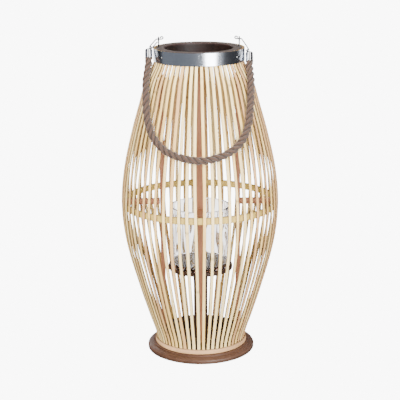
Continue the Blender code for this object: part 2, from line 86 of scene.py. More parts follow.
# Handle: the hardware hangs from the hinge axis and leans forwards with the rope
HINGE_HEIGHT = 0.589
HANDLE_TILT = math.radians(33)
EYE_X = 0.0728
EYE_RING_RADIUS = 0.0033
EYE_SHANK_END = -0.0298           # below the hinge axis
EYE_FOOT = -0.015                 # where the shank enters the top ring
EYE_THREAD_PITCH = 0.0011
LINK_SPACING = 0.0050
LINK_START_X = 0.0738
LINK_BEND = 0.0040
LINK_CURL_RADIUS = 0.0024
LINK_CURL_X = 0.0672
LINK_CORNER = 0.0016
CAP_X = 0.0903
CAP_RADIUS = 0.0070
CAP_LENGTH = 0.0175
CAP_LOOP_RADIUS = 0.0034
ROPE_ROUTE = (
    (-0.0924, -0.0353, 0.5350), (-0.0947, -0.0459, 0.5195), (-0.0947, -0.0567, 0.5050),
    (-0.0942, -0.0674, 0.4890), (-0.0934, -0.0766, 0.4720), (-0.0905, -0.0869, 0.4530),
    (-0.0831, -0.0998, 0.4330), (-0.0695, -0.1147, 0.4165), (-0.0514, -0.1267, 0.4055),
    (-0.0267, -0.1360, 0.3985), (0.0000, -0.1398, 0.3950), (0.0252, -0.1365, 0.3980),
    (0.0473, -0.1285, 0.4045), (0.0645, -0.1184, 0.4140), (0.0771, -0.1068, 0.4280),
    (0.0862, -0.0927, 0.4500), (0.0895, -0.0812, 0.4720), (0.0911, -0.0714, 0.4890),
    (0.0918, -0.0611, 0.5050), (0.0924, -0.0503, 0.5195), (0.0911, -0.0371, 0.5350),
)


# ---------------------------------------------------------------- settings

def length(name, description, default):
    """A length property in metres."""
    return FloatProperty(
        name=name, description=description, default=default, min=0.0, precision=5, unit="LENGTH"
    )


def colour(name, description, default):
    """A colour property."""
    return FloatVectorProperty(
        name=name, description=description, default=default, size=3, min=0.0, max=1.0,
        subtype="COLOR",
    )


class LanternSizes(PropertyGroup):
    """Sizes of the stock that the lantern is made from."""

    slat_width: length("Slat width", "Width of a bamboo slat", 0.0059)
    slat_thickness: length("Slat thickness", "Thickness of a bamboo slat", 0.003)
    slat_wander: length("Slat wander", "How far a slat strays sideways at mid height", 0.0011)
    top_ring_hole: length("Top hole radius", "Radius of the hole in the top ring", 0.0625)
    bottom_ring_hole: length("Bottom hole radius", "Radius of the bottom ring's hole", 0.0555)
    collar_sheet: length("Collar sheet", "Thickness of the collar's metal sheet", 0.0008)
    hoop_thickness: length("Hoop thickness", "Thickness of the middle hoop", 0.003)
    band_thickness: length("Band thickness", "Thickness of the lower band", 0.0021)
    glass_wall: length("Glass wall", "Thickness of the glass wall", 0.0035)
    glass_floor: length("Glass floor", "Thickness of the glass floor", 0.0055)
    rope_diameter: length("Rope diameter", "Diameter of the rope over its strands", 0.0138)
    rope_pitch: length("Rope pitch", "Length of one full turn of a strand", 0.036)
    eye_wire: length("Eye wire", "Radius of the screw eyes' wire", 0.0013)
    link_wire: length("Link wire", "Radius of the links' wire", 0.0011)
    loop_wire: length("Loop wire", "Radius of the wire of the caps' loops", 0.0011)


class LanternColours(PropertyGroup):
    """Main colours of the lantern's finishes."""

    pale_straw: colour("Pale straw", "Palest bamboo slat", (0.96, 0.73, 0.335))
    straw: colour("Straw", "Light bamboo slat", (0.86, 0.57, 0.18))
    pink_straw: colour("Pink straw", "Bamboo slat with a pink cast", (0.62, 0.355, 0.155))
    # the cut sides' own brown, which also serves as painted shade on the slats' inner faces and the
    # bands' top edges
    slat_side_and_shade: colour("Slat side", "Cut sides of a slat", (0.145, 0.088, 0.042))
    band: colour("Band", "Bamboo of the lower band", (0.61, 0.355, 0.175))
    hoop: colour("Hoop", "Bamboo of the middle hoop", (0.56, 0.39, 0.10))
    stain: colour("Stain", "Brown stain of the base and ring", (0.047, 0.021, 0.0115))
    post_stain: colour("Post stain", "Thinner stain of the posts", (0.235, 0.098, 0.047))
    top_face: colour("Top face", "Greyed face of the top ring", (0.062, 0.048, 0.041))
    # the lips' own reddish brown, which much darker also serves as painted shade on the ring's walls
    top_lip_and_wall_shade: colour("Top lip", "Reddish edges of the top ring", (0.034, 0.016, 0.013))
    steel: colour("Collar steel", "Bare steel of the collar", (0.62, 0.65, 0.71))
    chrome: colour("Chrome", "Plating of the handle's hardware", (0.86, 0.86, 0.87))
    wire: colour("Wire", "Dark bright wire of the eyes and links", (0.085, 0.085, 0.09))
    zinc: colour("Zinc", "Plating of the screws and nails", (0.62, 0.62, 0.60))
    glass: colour("Glass", "Tint of the glass", (0.93, 0.93, 0.945))
    rope: colour("Rope", "Light yarns of the rope", (0.086, 0.050, 0.035))
    # painted shade for the grooves between strands and the gaps between yarns
    rope_crease_shade: colour("Rope grooves", "Dark yarns and grooves of the rope", (0.028, 0.016, 0.010))


class LanternStage(PropertyGroup):
    """Camera and light."""

    camera_distance: length("Camera distance", "From the lantern's axis, level", 2.1667)
    camera_height: length("Camera height", "Above the floor", 0.8662)
    camera_pitch: FloatProperty(
        name="Camera pitch", description="Downward angle of the view",
        default=math.radians(14.94), subtype="ANGLE",
    )
    camera_roll: FloatProperty(
        name="Camera roll", description="Turn of the camera about its view",
        default=math.radians(-0.39), subtype="ANGLE",
    )
    lens: FloatProperty(name="Lens", description="Focal length in millimetres", default=108.02)
    key_power: FloatProperty(
        name="Key power", description="Power of the tall softbox", default=72.0, unit="POWER"
    )
    fill_power: FloatProperty(
        name="Fill power", description="Power of the left key", default=72.0, unit="POWER"
    )
    top_power: FloatProperty(
        name="Top power", description="Power of the overhead softbox", default=30.0, unit="POWER"
    )
    floor_level: FloatProperty(
        name="Floor level", description="Brightness of the floor to the camera", default=9.0
    )
    back_power: FloatProperty(
        name="Back power", description="Power of each light behind", default=34.0, unit="POWER"
    )
    glass_level: FloatProperty(
        name="Glass level", description="Brightness of the floor seen through glass", default=4.2
    )
    room_level: FloatProperty(
        name="Room level", description="Brightness of the floor and walls as light", default=0.05
    )
    rope_rings: IntProperty(name="Rope rings", description="Sections along the rope", default=1100)


def settings():
    """The three groups of settings of the scene."""
    scene = bpy.context.scene
    return scene.lantern_sizes, scene.lantern_colours, scene.lantern_stage


# ---------------------------------------------------------------- geometry

def around(azimuth, radius, height):
    """Points at an azimuth: (radius sin azimuth, -radius cos azimuth, height), as one array."""
    azimuth, radius, height = np.broadcast_arrays(azimuth, radius, height)
    return np.stack([radius * np.sin(azimuth), -radius * np.cos(azimuth), height], axis=-1)


def settled(azimuth):
    """An even azimuth plus an assumed shift, nothing at the front and BACK_SHIFT at the back."""
    return azimuth + BACK_SHIFT * (1 - math.cos(azimuth)) / 2


def unit(vectors):
    """Vectors divided by their lengths."""
    return vectors / np.linalg.norm(vectors, axis=-1, keepdims=True)


def bell(distance, width):
    """A bump of height 1 that falls off as exp(-(distance / width) squared)."""
    return np.exp(-((distance / width) ** 2))


def smooth_curve(knots, stations):
    """Cubic pieces through knots of (position, values...), read at each station.

    A knot's slope is the mean of the straight slopes on its two sides, and each piece is the
    cubic with the values and slopes of its two knots.
    """
    knots = np.asarray(knots, float)
    place, values = knots[:, 0], knots[:, 1:]
    slopes = np.diff(values, axis=0) / np.diff(place)[:, None]
    tangents = np.concatenate([slopes[:1], (slopes[:-1] + slopes[1:]) / 2, slopes[-1:]])
    index = np.clip(np.searchsorted(place, stations, side="right") - 1, 0, len(place) - 2)
    span = np.diff(place)[index][:, None]
    t = (stations - place[index])[:, None] / span
    result = values[index] * (1 + 2 * t) * (1 - t) ** 2
    result += tangents[index] * span * t * (1 - t) ** 2
    result += values[index + 1] * t * t * (3 - 2 * t)
    result += tangents[index + 1] * span * t * t * (t - 1)
    return result


def smooth_path(points, count):
    """Even steps along a smooth curve through points, which are read by distance travelled."""
    points = np.asarray(points, float)
    travelled = np.concatenate([[0], np.cumsum(np.linalg.norm(np.diff(points, axis=0), axis=1))])
    knots = np.column_stack([travelled, points])
    return smooth_curve(knots, np.linspace(0, travelled[-1], count))


def rounded_outline(corners, setback, steps=6, closed=True, run=0.004):
    """A polygon with its corners rounded, as an array of points.

    Each corner becomes the quadratic curve that starts and ends one setback from it, and each
    straight stretch between two corners is divided into runs no longer than run. An open
    outline keeps its first and last points.
    """
    corners = np.asarray(corners, float)
    setbacks = np.broadcast_to(np.asarray(setback, float), (len(corners),))
    t = np.linspace(0, 1, steps + 1)[:, None]
    parts = []
    for i, corner in enumerate(corners):
        if not closed and i in (0, len(corners) - 1):
            parts.append(corner[None])
            continue
        before, after = corners[i - 1], corners[(i + 1) % len(corners)]
        start = corner + unit(before - corner) * setbacks[i]
        end = corner + unit(after - corner) * setbacks[i]
        parts.append((1 - t) ** 2 * start + 2 * t * (1 - t) * corner + t * t * end)
    outline = []
    for i, part in enumerate(parts):
        outline.append(part)
        if closed or i < len(parts) - 1:
            start, end = part[-1], parts[(i + 1) % len(parts)][0]
            pieces = int(np.linalg.norm(end - start) / run)
            share = np.linspace(0, 1, pieces + 2)[1:-1, None]
            outline.append(start + (end - start) * share)
    return np.concatenate(outline)


def edge_wear(outline, closed=True):
    """How strongly an outline turns at each of its points, from 0 on a flat to 1 on an edge."""
    step = np.diff(np.concatenate([outline[-1:], outline, outline[:1]]), axis=0)
    angle = np.arctan2(step[:, 1], step[:, 0])
    turn = np.abs((np.diff(angle) + np.pi) % (2 * np.pi) - np.pi)
    if not closed:
        turn[[0, -1]] = 0
    return np.clip(turn / math.radians(12), 0, 1)


def turned(outline, steps=ROUND_STEPS, radius_change=None):
    """An outline of (radius, height) turned about Z: point (i, j) is outline i at azimuth j."""
    azimuth = np.pi + np.linspace(0, 2 * np.pi, steps, endpoint=False)[None, :]
    radius = np.repeat(outline[:, :1], steps, axis=1)
    if radius_change is not None:
        radius = radius + radius_change(azimuth, outline[:, 1:2], outline[:, :1])
    return around(azimuth, radius, outline[:, 1:2])


def swept(path, section, reference, ends_closed=False):
    """A section carried along a path: point (i, j) is path i plus section j in its local axes.

    The local axes are the side, which is square to the path and the reference direction, and
    the normal, which is square to the path and the side. The section is (columns, 2), or
    (rows, columns, 2) where it changes along the path.
    """
    if ends_closed:
        tangent = unit(np.roll(path, -1, axis=0) - np.roll(path, 1, axis=0))
    else:
        tangent = unit(np.gradient(path, axis=0))
    side = unit(np.cross(tangent, reference))
    normal = np.cross(side, tangent)
    section = np.broadcast_to(section, (len(path),) + section.shape[-2:])
    offset = section[..., :1] * side[:, None] + section[..., 1:] * normal[:, None]
    return path[:, None] + offset


def circle(radius, steps):
    """A round section as (steps, 2)."""
    angle = np.linspace(0, 2 * np.pi, steps, endpoint=False)
    return radius * np.stack([np.cos(angle), np.sin(angle)], axis=-1)


def rounded_section(width, height, angle, power=0.5):
    """A rounded rectangle: half width times cos to a power, half height times sin to a power."""
    across = np.sign(np.cos(angle)) * np.abs(np.cos(angle)) ** power
    through = np.sign(np.sin(angle)) * np.abs(np.sin(angle)) ** power
    return across * width / 2, through * height / 2


def placed(points, origin, right, forward, up):
    """Local points moved to an origin, with three local axes given as directions."""
    return np.asarray(origin, float) + points @ np.array([right, forward, up], float)


def hung(points, side):
    """Points of the handle's hardware, from the right-hand hinge frame to the world.

    They lean forwards by the handle's tilt about the X axis. The left hand is the right one,
    leaning the other way and turned by half a turn about Z.
    """
    lean = -side * HANDLE_TILT
    x, y, z = points[..., 0], points[..., 1], points[..., 2]
    tilted_y = y * math.cos(lean) - z * math.sin(lean)
    tilted_z = y * math.sin(lean) + z * math.cos(lean)
    return np.stack([side * x, side * tilted_y, HINGE_HEIGHT + tilted_z], axis=-1)


def grid(points, wrap=False, **values):
    """One closed patch: rows of points whose columns close on themselves.

    With wrap the last row meets the first, and without it each end is closed by a fan. values
    are numbers for each point, such as wear, which become attributes of the mesh.
    """
    return {"points": points, "wrap": wrap, "values": values}


def patch_arrays(patch):
    """Vertices, faces of four and three corners, and texture places of one patch.

    The texture place of (row, column) is the distance travelled round the widest row and the
    distance travelled along the first column, both in metres.
    """
    points, wrap = patch["points"], patch["wrap"]
    rows, columns = points.shape[:2]
    row, column = np.meshgrid(
        np.arange(rows if wrap else rows - 1), np.arange(columns), indexing="ij"
    )
    row = row.reshape(-1, 1) + np.array([[0, 1, 1, 0]])
    column = column.reshape(-1, 1) + np.array([[0, 0, 1, 1]])
    quads = (row % rows) * columns + column % columns
    round_step = np.linalg.norm(np.roll(points, -1, axis=1) - points, axis=-1)
    widest = round_step[np.argmax(round_step.sum(axis=1))]
    along_step = np.linalg.norm(np.roll(points, -1, axis=0) - points, axis=-1)[:, 0]
    travel_round = np.concatenate([[0], np.cumsum(widest)])
    travel_along = np.concatenate([[0], np.cumsum(along_step)])
    quad_places = np.stack([travel_round[column], travel_along[row]], axis=-1)
    vertices = points.reshape(-1, 3)
    if wrap:
        return vertices, quads, np.zeros((0, 3), int), quad_places, np.zeros((0, 3, 2))
    centres = np.stack([points[0].mean(axis=0), points[-1].mean(axis=0)])
    near, far = np.arange(columns), (rows - 1) * columns + np.arange(columns)
    first = np.stack([np.full(columns, rows * columns), near, np.roll(near, -1)], axis=1)
    last = np.stack([np.full(columns, rows * columns + 1), np.roll(far, -1), far], axis=1)
    rim = np.stack([travel_round[:-1], travel_round[1:]], axis=1)
    middle = np.full((columns, 1), travel_round[-1] / 2)
    low = np.stack([np.hstack([middle, rim]), np.full((columns, 3), travel_along[0])], axis=-1)
    rim_back = rim[:, ::-1]
    high = np.stack(
        [np.hstack([middle, rim_back]), np.full((columns, 3), travel_along[rows - 1])], axis=-1
    )
    return (
        np.concatenate([vertices, centres]), quads, np.concatenate([first, last]),
        quad_places, np.concatenate([low, high]),
    )


def enclosed_volume(vertices, quads, triangles):
    """Sum of the corner products over all faces: six volumes, positive where faces point out."""
    halves = np.concatenate([quads[:, :3], quads[:, [0, 2, 3]], triangles])
    a, b, c = (vertices[halves[:, i]] for i in range(3))
    return np.einsum("ij,ij->", a - vertices.mean(axis=0), np.cross(b - a, c - a))


def mesh_of(name, patches):
    """A mesh from closed patches, with faces pointing out, texture places and attributes."""
    vertices, loops, starts, places = [], [], [], []
    values = {key: [] for key in patches[0]["values"]}
    base = 0
    loop_base = 0
    for patch in patches:
        points, quads, triangles, quad_places, triangle_places = patch_arrays(patch)
        if enclosed_volume(points, quads, triangles) < 0:
            quads, triangles = quads[:, ::-1], triangles[:, ::-1]
            quad_places, triangle_places = quad_places[:, ::-1], triangle_places[:, ::-1]
        vertices.append(points)
        loops += [quads.ravel() + base, triangles.ravel() + base]
        starts.append(loop_base + 4 * np.arange(len(quads)))
        loop_base += quads.size
        starts.append(loop_base + 3 * np.arange(len(triangles)))
        loop_base += triangles.size
        places += [quad_places.reshape(-1, 2), triangle_places.reshape(-1, 2)]
        shape = patch["points"].shape[:2]
        for key, collected in values.items():
            value = np.broadcast_to(patch["values"][key], shape)
            collected.append(value.ravel())
            if not patch["wrap"]:
                collected.append(np.array([value[0].mean(), value[-1].mean()]))
        base += len(points)
    vertices, loops = np.concatenate(vertices), np.concatenate(loops)
    starts = np.concatenate(starts)
    mesh = bpy.data.meshes.new(name)
    mesh.vertices.add(len(vertices))
    mesh.loops.add(len(loops))
    mesh.polygons.add(len(starts))
    mesh.vertices.foreach_set("co", vertices.astype(np.float32).ravel())
    mesh.loops.foreach_set("vertex_index", loops.astype(np.int32))
    mesh.polygons.foreach_set("loop_start", starts.astype(np.int32))
    mesh.update(calc_edges=True)
    layer = mesh.uv_layers.new(name="places")
    layer.data.foreach_set("uv", np.concatenate(places).astype(np.float32).ravel())
    for key, collected in values.items():
        attribute = mesh.attributes.new(key, "FLOAT", "POINT")
        attribute.data.foreach_set("value", np.concatenate(collected).astype(np.float32))
    mesh.validate()
    return mesh


def add_piece(name, patches, material, body, nodes, sharp=40):
    """A finished piece: its mesh, its material, the body it rides and the nodes it stands for."""
    mesh = mesh_of(name, patches)
    mesh.materials.append(material)
    mesh.shade_smooth()
    mesh.set_sharp_from_angle(angle=math.radians(sharp))
    piece = bpy.data.objects.new(name, mesh)
    bpy.context.scene.collection.objects.link(piece)
    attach(piece, body)
    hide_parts(*nodes)
    return piece


def round_size(node):
    """Outer radius, lowest and highest point of a round CAD node on the axis."""
    low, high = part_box(node)
    return high.x, low.z, high.z


# ---------------------------------------------------------------- shader helpers

class Finish:
    """A procedural material under construction, with short calls for the nodes it needs."""

    def __init__(self, name):
        self.material = bpy.data.materials.new(name)
        self.material.use_nodes = True
        self.tree = self.material.node_tree
        self.shader = self.tree.nodes["Principled BSDF"]

    def add(self, kind, **settings_):
        """A node of a kind with its settings."""
        made = self.tree.nodes.new(kind)
        for key, value in settings_.items():
            setattr(made, key, value)
        return made

    def join(self, source, target):
        """A link, or a plain value where the source isn't a socket."""
        if isinstance(source, bpy.types.NodeSocket):
            self.tree.links.new(source, target)
        else:
            target.default_value = source

    def fixed(self, **values):
        """Constant values set on the shader's own sockets."""
        for key, value in values.items():
            self.shader.inputs[key.replace("_", " ")].default_value = value

    def places(self, kind, scale):
        """Object or UV coordinates, stretched by a scale for each axis."""
        source = self.add("ShaderNodeTexCoord").outputs[kind]
        mapping = self.add("ShaderNodeMapping")
        self.join(source, mapping.inputs["Vector"])
        mapping.inputs["Scale"].default_value = scale
        return mapping.outputs["Vector"]

    def attribute(self, name):
        """A value stored on the mesh."""
        return self.add("ShaderNodeAttribute", attribute_name=name).outputs["Fac"]

    def noise(self, places, scale, detail=4.0, roughness=0.55, distortion=0.0):
        """Fractal noise between 0 and 1."""
        made = self.add("ShaderNodeTexNoise")
        self.join(places, made.inputs["Vector"])
        made.inputs["Scale"].default_value = scale
        made.inputs["Detail"].default_value = detail
        made.inputs["Roughness"].default_value = roughness
        made.inputs["Distortion"].default_value = distortion
        return made.outputs["Fac"]

    def cells(self, places, scale, feature="F1"):
        """Distance to the nearest of scattered points."""
        made = self.add("ShaderNodeTexVoronoi", feature=feature)
        self.join(places, made.inputs["Vector"])
        made.inputs["Scale"].default_value = scale
        return made.outputs["Distance"]

    def span(self, value, low, high, new_low=0.0, new_high=1.0):
        """A value stretched from one range to another, and kept inside it."""
        made = self.add("ShaderNodeMapRange")
        self.join(value, made.inputs["Value"])
        made.inputs["From Min"].default_value = low
        made.inputs["From Max"].default_value = high
        made.inputs["To Min"].default_value = new_low
        made.inputs["To Max"].default_value = new_high
        return made.outputs["Result"]

    def maths(self, operation, a, b):
        """Two values put together."""
        made = self.add("ShaderNodeMath", operation=operation)
        self.join(a, made.inputs[0])
        self.join(b, made.inputs[1])
        return made.outputs["Value"]

    def mix(self, factor, a, b, blend="MIX"):
        """Two colours mixed by a factor."""
        made = self.add("ShaderNodeMix", data_type="RGBA", blend_type=blend)
        self.join(factor, made.inputs[0])
        for value, socket in ((a, made.inputs[6]), (b, made.inputs[7])):
            if not isinstance(value, bpy.types.NodeSocket):
                value = (*tuple(value)[:3], 1.0)
            self.join(value, socket)
        return made.outputs[2]

    def relief(self, height, strength, distance):
        """The shader's normal, from a height."""
        made = self.add("ShaderNodeBump")
        made.inputs["Strength"].default_value = strength
        made.inputs["Distance"].default_value = distance
        self.join(height, made.inputs["Height"])
        self.join(made.outputs["Normal"], self.shader.inputs["Normal"])

    def finish(self, colour_, roughness):
        """The colour and roughness of the shader, and the material."""
        self.join(colour_, self.shader.inputs["Base Color"])
        self.join(roughness, self.shader.inputs["Roughness"])
        return self.material


def shade(colour_, factor):
    """A colour made lighter or darker."""
    return tuple(min(1.0, channel * factor) for channel in colour_)


# ---------------------------------------------------------------- finishes

def bamboo_finish(name, pale, light, pink, side, fibre=1800.0, along=22.0):
    """Split bamboo: fine fibres along the strip, tone from strip to strip, brown cut sides, and
    painted shade where the side attribute marks inner faces and top edges.
    """
    made = Finish(name)
    fibres = made.noise(made.places("UV", (fibre, along, 1.0)), 1.0, 3.0, 0.6)
    streaks = made.noise(made.places("UV", (fibre / 5, along / 2.5, 1.0)), 1.0, 3.0, 0.5)
    blotches = made.noise(made.places("Object", (1.0, 1.0, 0.35)), 38.0, 3.0, 0.5)
    tone = made.maths("ADD", made.attribute("tone"), made.span(blotches, 0.3, 0.7, -0.2, 0.2))
    face = made.mix(made.span(tone, 0.0, 0.45), pale, light)
    face = made.mix(made.span(tone, 0.45, 1.0), face, pink)
    face = made.mix(made.span(streaks, 0.42, 0.78, 0.0, 0.45), face, shade(pink, 0.72))
    face = made.mix(made.span(fibres, 0.45, 0.8, 0.0, 0.35), face, shade(side, 1.25))
    face = made.mix(made.span(fibres, 0.45, 0.22, 0.0, 0.3), face, shade(light, 1.12))
    # painted shade: inner faces and top edges are darkened towards the side colour, as are the real
    # brown cut sides
    edge = made.maths("MULTIPLY", made.attribute("side"), made.span(streaks, 0.2, 0.7, 0.65, 1.0))
    face = made.mix(edge, face, side)
    face = made.mix(made.maths("MULTIPLY", made.attribute("knot"), 0.6), face, shade(side, 0.8))
    made.relief(made.maths("ADD", fibres, made.maths("MULTIPLY", streaks, 2.0)), 0.35, 0.00012)
    made.fixed(Specular_IOR_Level=0.12)
    return made.finish(face, made.span(streaks, 0.3, 0.7, 0.42, 0.6))


def wood_finish(name, stain, scale, dark=0.5, light=1.45, kind="Object"):
    """Stained wood: long grain, darker pores, and stain rubbed thin along the edges."""
    made = Finish(name)
    places = made.places(kind, scale)
    bend = made.noise(places, 0.35, 2.0, 0.5)
    grain = made.noise(places, 1.0, 5.0, 0.62, 0.6)
    pores = made.cells(made.places(kind, tuple(3.0 * value for value in scale)), 1.0)
    cloud = made.noise(made.places("Object", (1.0, 1.0, 1.0)), 22.0, 3.0, 0.5)
    body = made.mix(made.span(grain, 0.3, 0.72), shade(stain, dark + 0.25), shade(stain, light))
    body = made.mix(made.span(bend, 0.4, 0.75, 0.0, 0.5), body, shade(stain, 0.8))
    body = made.mix(made.span(cloud, 0.35, 0.75, 0.0, 0.4), body, shade(stain, 1.2))
    body = made.mix(made.span(pores, 0.32, 0.1, 0.0, 0.55), body, shade(stain, dark))
    worn = made.maths("MULTIPLY", made.attribute("wear"), made.span(cloud, 0.35, 0.65, 0.15, 0.8))
    body = made.mix(worn, body, shade(stain, 1.9))
    height = made.maths("SUBTRACT", grain, made.span(pores, 0.3, 0.1, 0.0, 0.8))
    made.relief(height, 0.3, 0.0002)
    made.fixed(Specular_IOR_Level=0.4)
    return made.finish(body, made.span(grain, 0.3, 0.7, 0.42, 0.62))


def top_ring_finish(colours):
    """Greyed face with a rubbed grain and reddish brown edges, with painted shade on every face below
    the top face, the hole's wall most of all.
    """
    made = Finish("top_ring_finish")
    places = made.places("Object", (26.0, 190.0, 190.0))
    grain = made.noise(places, 1.0, 5.0, 0.65, 0.8)
    cloud = made.noise(made.places("Object", (1.0, 1.0, 1.0)), 30.0, 4.0, 0.6)
    dirt = made.cells(made.places("Object", (1.0, 2.6, 2.6)), 160.0)
    face = made.mix(
        made.span(grain, 0.32, 0.7), shade(colours.top_face, 0.72), shade(colours.top_face, 1.45)
    )
    face = made.mix(made.span(cloud, 0.4, 0.7, 0.0, 0.6), face, shade(colours.top_face, 1.25))
    face = made.mix(made.span(dirt, 0.25, 0.08, 0.0, 0.5), face, shade(colours.top_face, 0.5))
    # painted shade: the walls below the top face are darkened far below the lip's own colour
    wall = made.mix(
        made.span(grain, 0.3, 0.7), shade(colours.top_lip_and_wall_shade, 0.12), shade(colours.top_lip_and_wall_shade, 0.4)
    )
    face = made.mix(made.span(made.attribute("wall"), 0.1, 0.9), face, wall)
    lip = made.maths("MULTIPLY", made.attribute("wear"), made.span(cloud, 0.3, 0.7, 0.35, 0.95))
    face = made.mix(lip, face, shade(colours.top_lip_and_wall_shade, 1.1))
    made.relief(grain, 0.3, 0.0002)
    made.fixed(Specular_IOR_Level=0.4)
    return made.finish(face, made.span(grain, 0.3, 0.7, 0.45, 0.65))


def collar_finish(colours):
    """Rolled steel sheet: fine lines round the band, faint stains, and soft scratches."""
    made = Finish("collar_finish")
    lines = made.noise(made.places("UV", (6.0, 4200.0, 1.0)), 1.0, 3.0, 0.6)
    scratches = made.noise(made.places("UV", (60.0, 700.0, 1.0)), 1.0, 2.0, 0.5, 2.0)
    cloud = made.noise(made.places("Object", (1.0, 1.0, 1.0)), 34.0, 4.0, 0.6)
    body = made.mix(
        made.span(cloud, 0.35, 0.7), colours.steel, shade(colours.steel, 0.86)
    )
    body = made.mix(made.span(lines, 0.55, 0.75, 0.0, 0.25), body, shade(colours.steel, 0.7))
    rough = made.maths(
        "ADD", made.span(cloud, 0.3, 0.7, 0.18, 0.21), made.span(scratches, 0.58, 0.72, 0.0, 0.03)
    )
    made.relief(made.maths("ADD", lines, made.maths("MULTIPLY", cloud, 0.5)), 0.025, 0.0001)
    made.fixed(Metallic=1.0, Anisotropic=0.35)
    return made.finish(body, rough)


def metal_finish(name, metal, rough, spangle):
    """Plated metal: smudges of a slightly rougher surface, and a faint pattern of crystals."""
    made = Finish(name)
    cloud = made.noise(made.places("Object", (1.0, 1.0, 1.0)), 260.0, 3.0, 0.6)
    crystals = made.cells(made.places("Object", (1.0, 1.0, 1.0)), 900.0)
    body = made.mix(made.span(cloud, 0.35, 0.7), metal, shade(metal, 0.86))
    body = made.mix(made.span(crystals, 0.2, 0.7, 0.0, spangle), body, shade(metal, 0.6))
    made.relief(made.maths("ADD", cloud, crystals), 0.08, 0.00005)
    made.fixed(Metallic=1.0)
    return made.finish(body, made.span(cloud, 0.3, 0.75, rough, rough * 2.2))


def glass_finish(colours):
    """Clear pressed glass, with a haze of fingerprints."""
    made = Finish("glass_finish")
    haze = made.noise(made.places("Object", (1.0, 1.0, 1.0)), 120.0, 3.0, 0.6)
    tint = made.mix(made.span(haze, 0.4, 0.7), colours.glass, shade(colours.glass, 0.97))
    made.fixed(Transmission_Weight=1.0, IOR=1.5)
    return made.finish(tint, made.span(haze, 0.5, 0.8, 0.0, 0.03))


def rope_finish(colours):
    """Laid jute: yarns that run nearly along the rope, grooves and yarn gaps darkened as painted
    shade, and loose pale fibres.
    """
    made = Finish("rope_finish")
    yarns = made.noise(made.places("UV", (1500.0, 120.0, 1.0)), 1.0, 4.0, 0.65)
    specks = made.noise(made.places("Object", (1.0, 1.0, 1.0)), 420.0, 3.0, 0.7)
    patches = made.noise(made.places("Object", (1.0, 1.0, 1.0)), 60.0, 3.0, 0.5)
    body = made.mix(made.span(yarns, 0.35, 0.68), shade(colours.rope, 0.62), colours.rope)
    body = made.mix(made.span(specks, 0.52, 0.75, 0.0, 0.6), body, shade(colours.rope, 1.5))
    body = made.mix(made.span(patches, 0.4, 0.7, 0.0, 0.35), body, shade(colours.rope, 0.75))
    # painted shade: the gaps between yarns and the grooves between strands are darkened
    body = made.mix(made.maths("MULTIPLY", made.attribute("yarn_gap"), 0.45), body, colours.rope_crease_shade)
    body = made.mix(made.span(made.attribute("groove"), 0.2, 0.85, 0.0, 0.95), body, colours.rope_crease_shade)
    made.relief(made.maths("ADD", yarns, made.maths("MULTIPLY", specks, 0.6)), 0.7, 0.0004)
    made.fixed(Specular_IOR_Level=0.2, Sheen_Weight=0.25, Sheen_Roughness=0.5)
    return made.finish(body, made.span(specks, 0.3, 0.7, 0.8, 0.95))


# ---------------------------------------------------------------- pieces

def rope_ends(side, cap_drop):
    """Where the rope leaves a cap, and a point a little further down."""
    drop = cap_drop + CAP_LENGTH + SOLID_GAP
    local = np.array([(CAP_X, 0.0, -drop), (CAP_X, 0.0, -drop - 0.008)])
    return hung(local, side)


def make_rope(sizes, colours, stage):
    """Three-strand laid rope from cap to cap.

    The section is the outline of three round strands a third of a turn apart: at angle a from
    the nearest strand's middle, radius = offset cos a + sqrt(strand squared - (offset sin a)
    squared). It turns once in each pitch of the route. Small ridges, which turn against the
    strands and so run nearly along the rope, are the yarns.
    """
    ends = [rope_ends(side, cap_drop) for side, _, cap_drop, _ in HANDS]
    route = np.concatenate([ends[0], ROPE_ROUTE, ends[1][::-1]])
    rows = stage.rope_rings
    line = smooth_path(route, rows)
    steps = np.linalg.norm(np.diff(line, axis=0), axis=1)
    travel = np.concatenate([[0], np.cumsum(steps)])
    total = travel[-1]
    lead = np.linspace(-ROPE_TUCK, 0, 6)[:-1, None]
    first = line[0] + lead * unit(line[1] - line[0])
    last = line[-1] - lead[::-1] * unit(line[-1] - line[-2])
    body_line = np.concatenate([first, line, last])
    travel = np.concatenate([lead[:, 0], travel, total - lead[::-1, 0]])
    angle = np.linspace(0, 2 * np.pi, ROPE_COLUMNS, endpoint=False)[None, :]
    turn = 2 * np.pi * travel[:, None] / sizes.rope_pitch
    from_strand = (angle + np.pi / 3) % (2 * np.pi / 3) - np.pi / 3
    outer = sizes.rope_diameter / 2
    offset = outer * 0.47
    strand = outer - offset
    radius = offset * np.cos(from_strand)
    radius = radius + np.sqrt(strand**2 - (offset * np.sin(from_strand)) ** 2)
    shallow = outer - radius
    across = np.arctan2(radius * np.sin(from_strand), radius * np.cos(from_strand) - offset)
    yarn_phase = across * 6 + 1.6 * turn
    yarn_gap = np.clip(-np.cos(yarn_phase), 0, 1) ** 2
    ends = np.minimum(travel, total - travel)[:, None]
    squeeze = 1 - 0.13 * np.exp(-np.clip(ends, 0, None) / 0.0022)
    profile = (radius - 0.00013 * yarn_gap) * squeeze
    section_angle = angle - turn
    section = np.stack([profile * np.cos(section_angle), profile * np.sin(section_angle)], axis=-1)
    outward = body_line * (1, 1, 0)
    points = swept(body_line, section, outward)
    # groove depth, which the rope's finish darkens as painted shade
    groove = np.broadcast_to(shallow / shallow.max(), profile.shape)
    patch = grid(points, groove=groove, yarn_gap=yarn_gap)
    piece = add_piece(
        "rope_bail", [patch], rope_finish(colours), "handle", ["rope_handle"], 80
    )


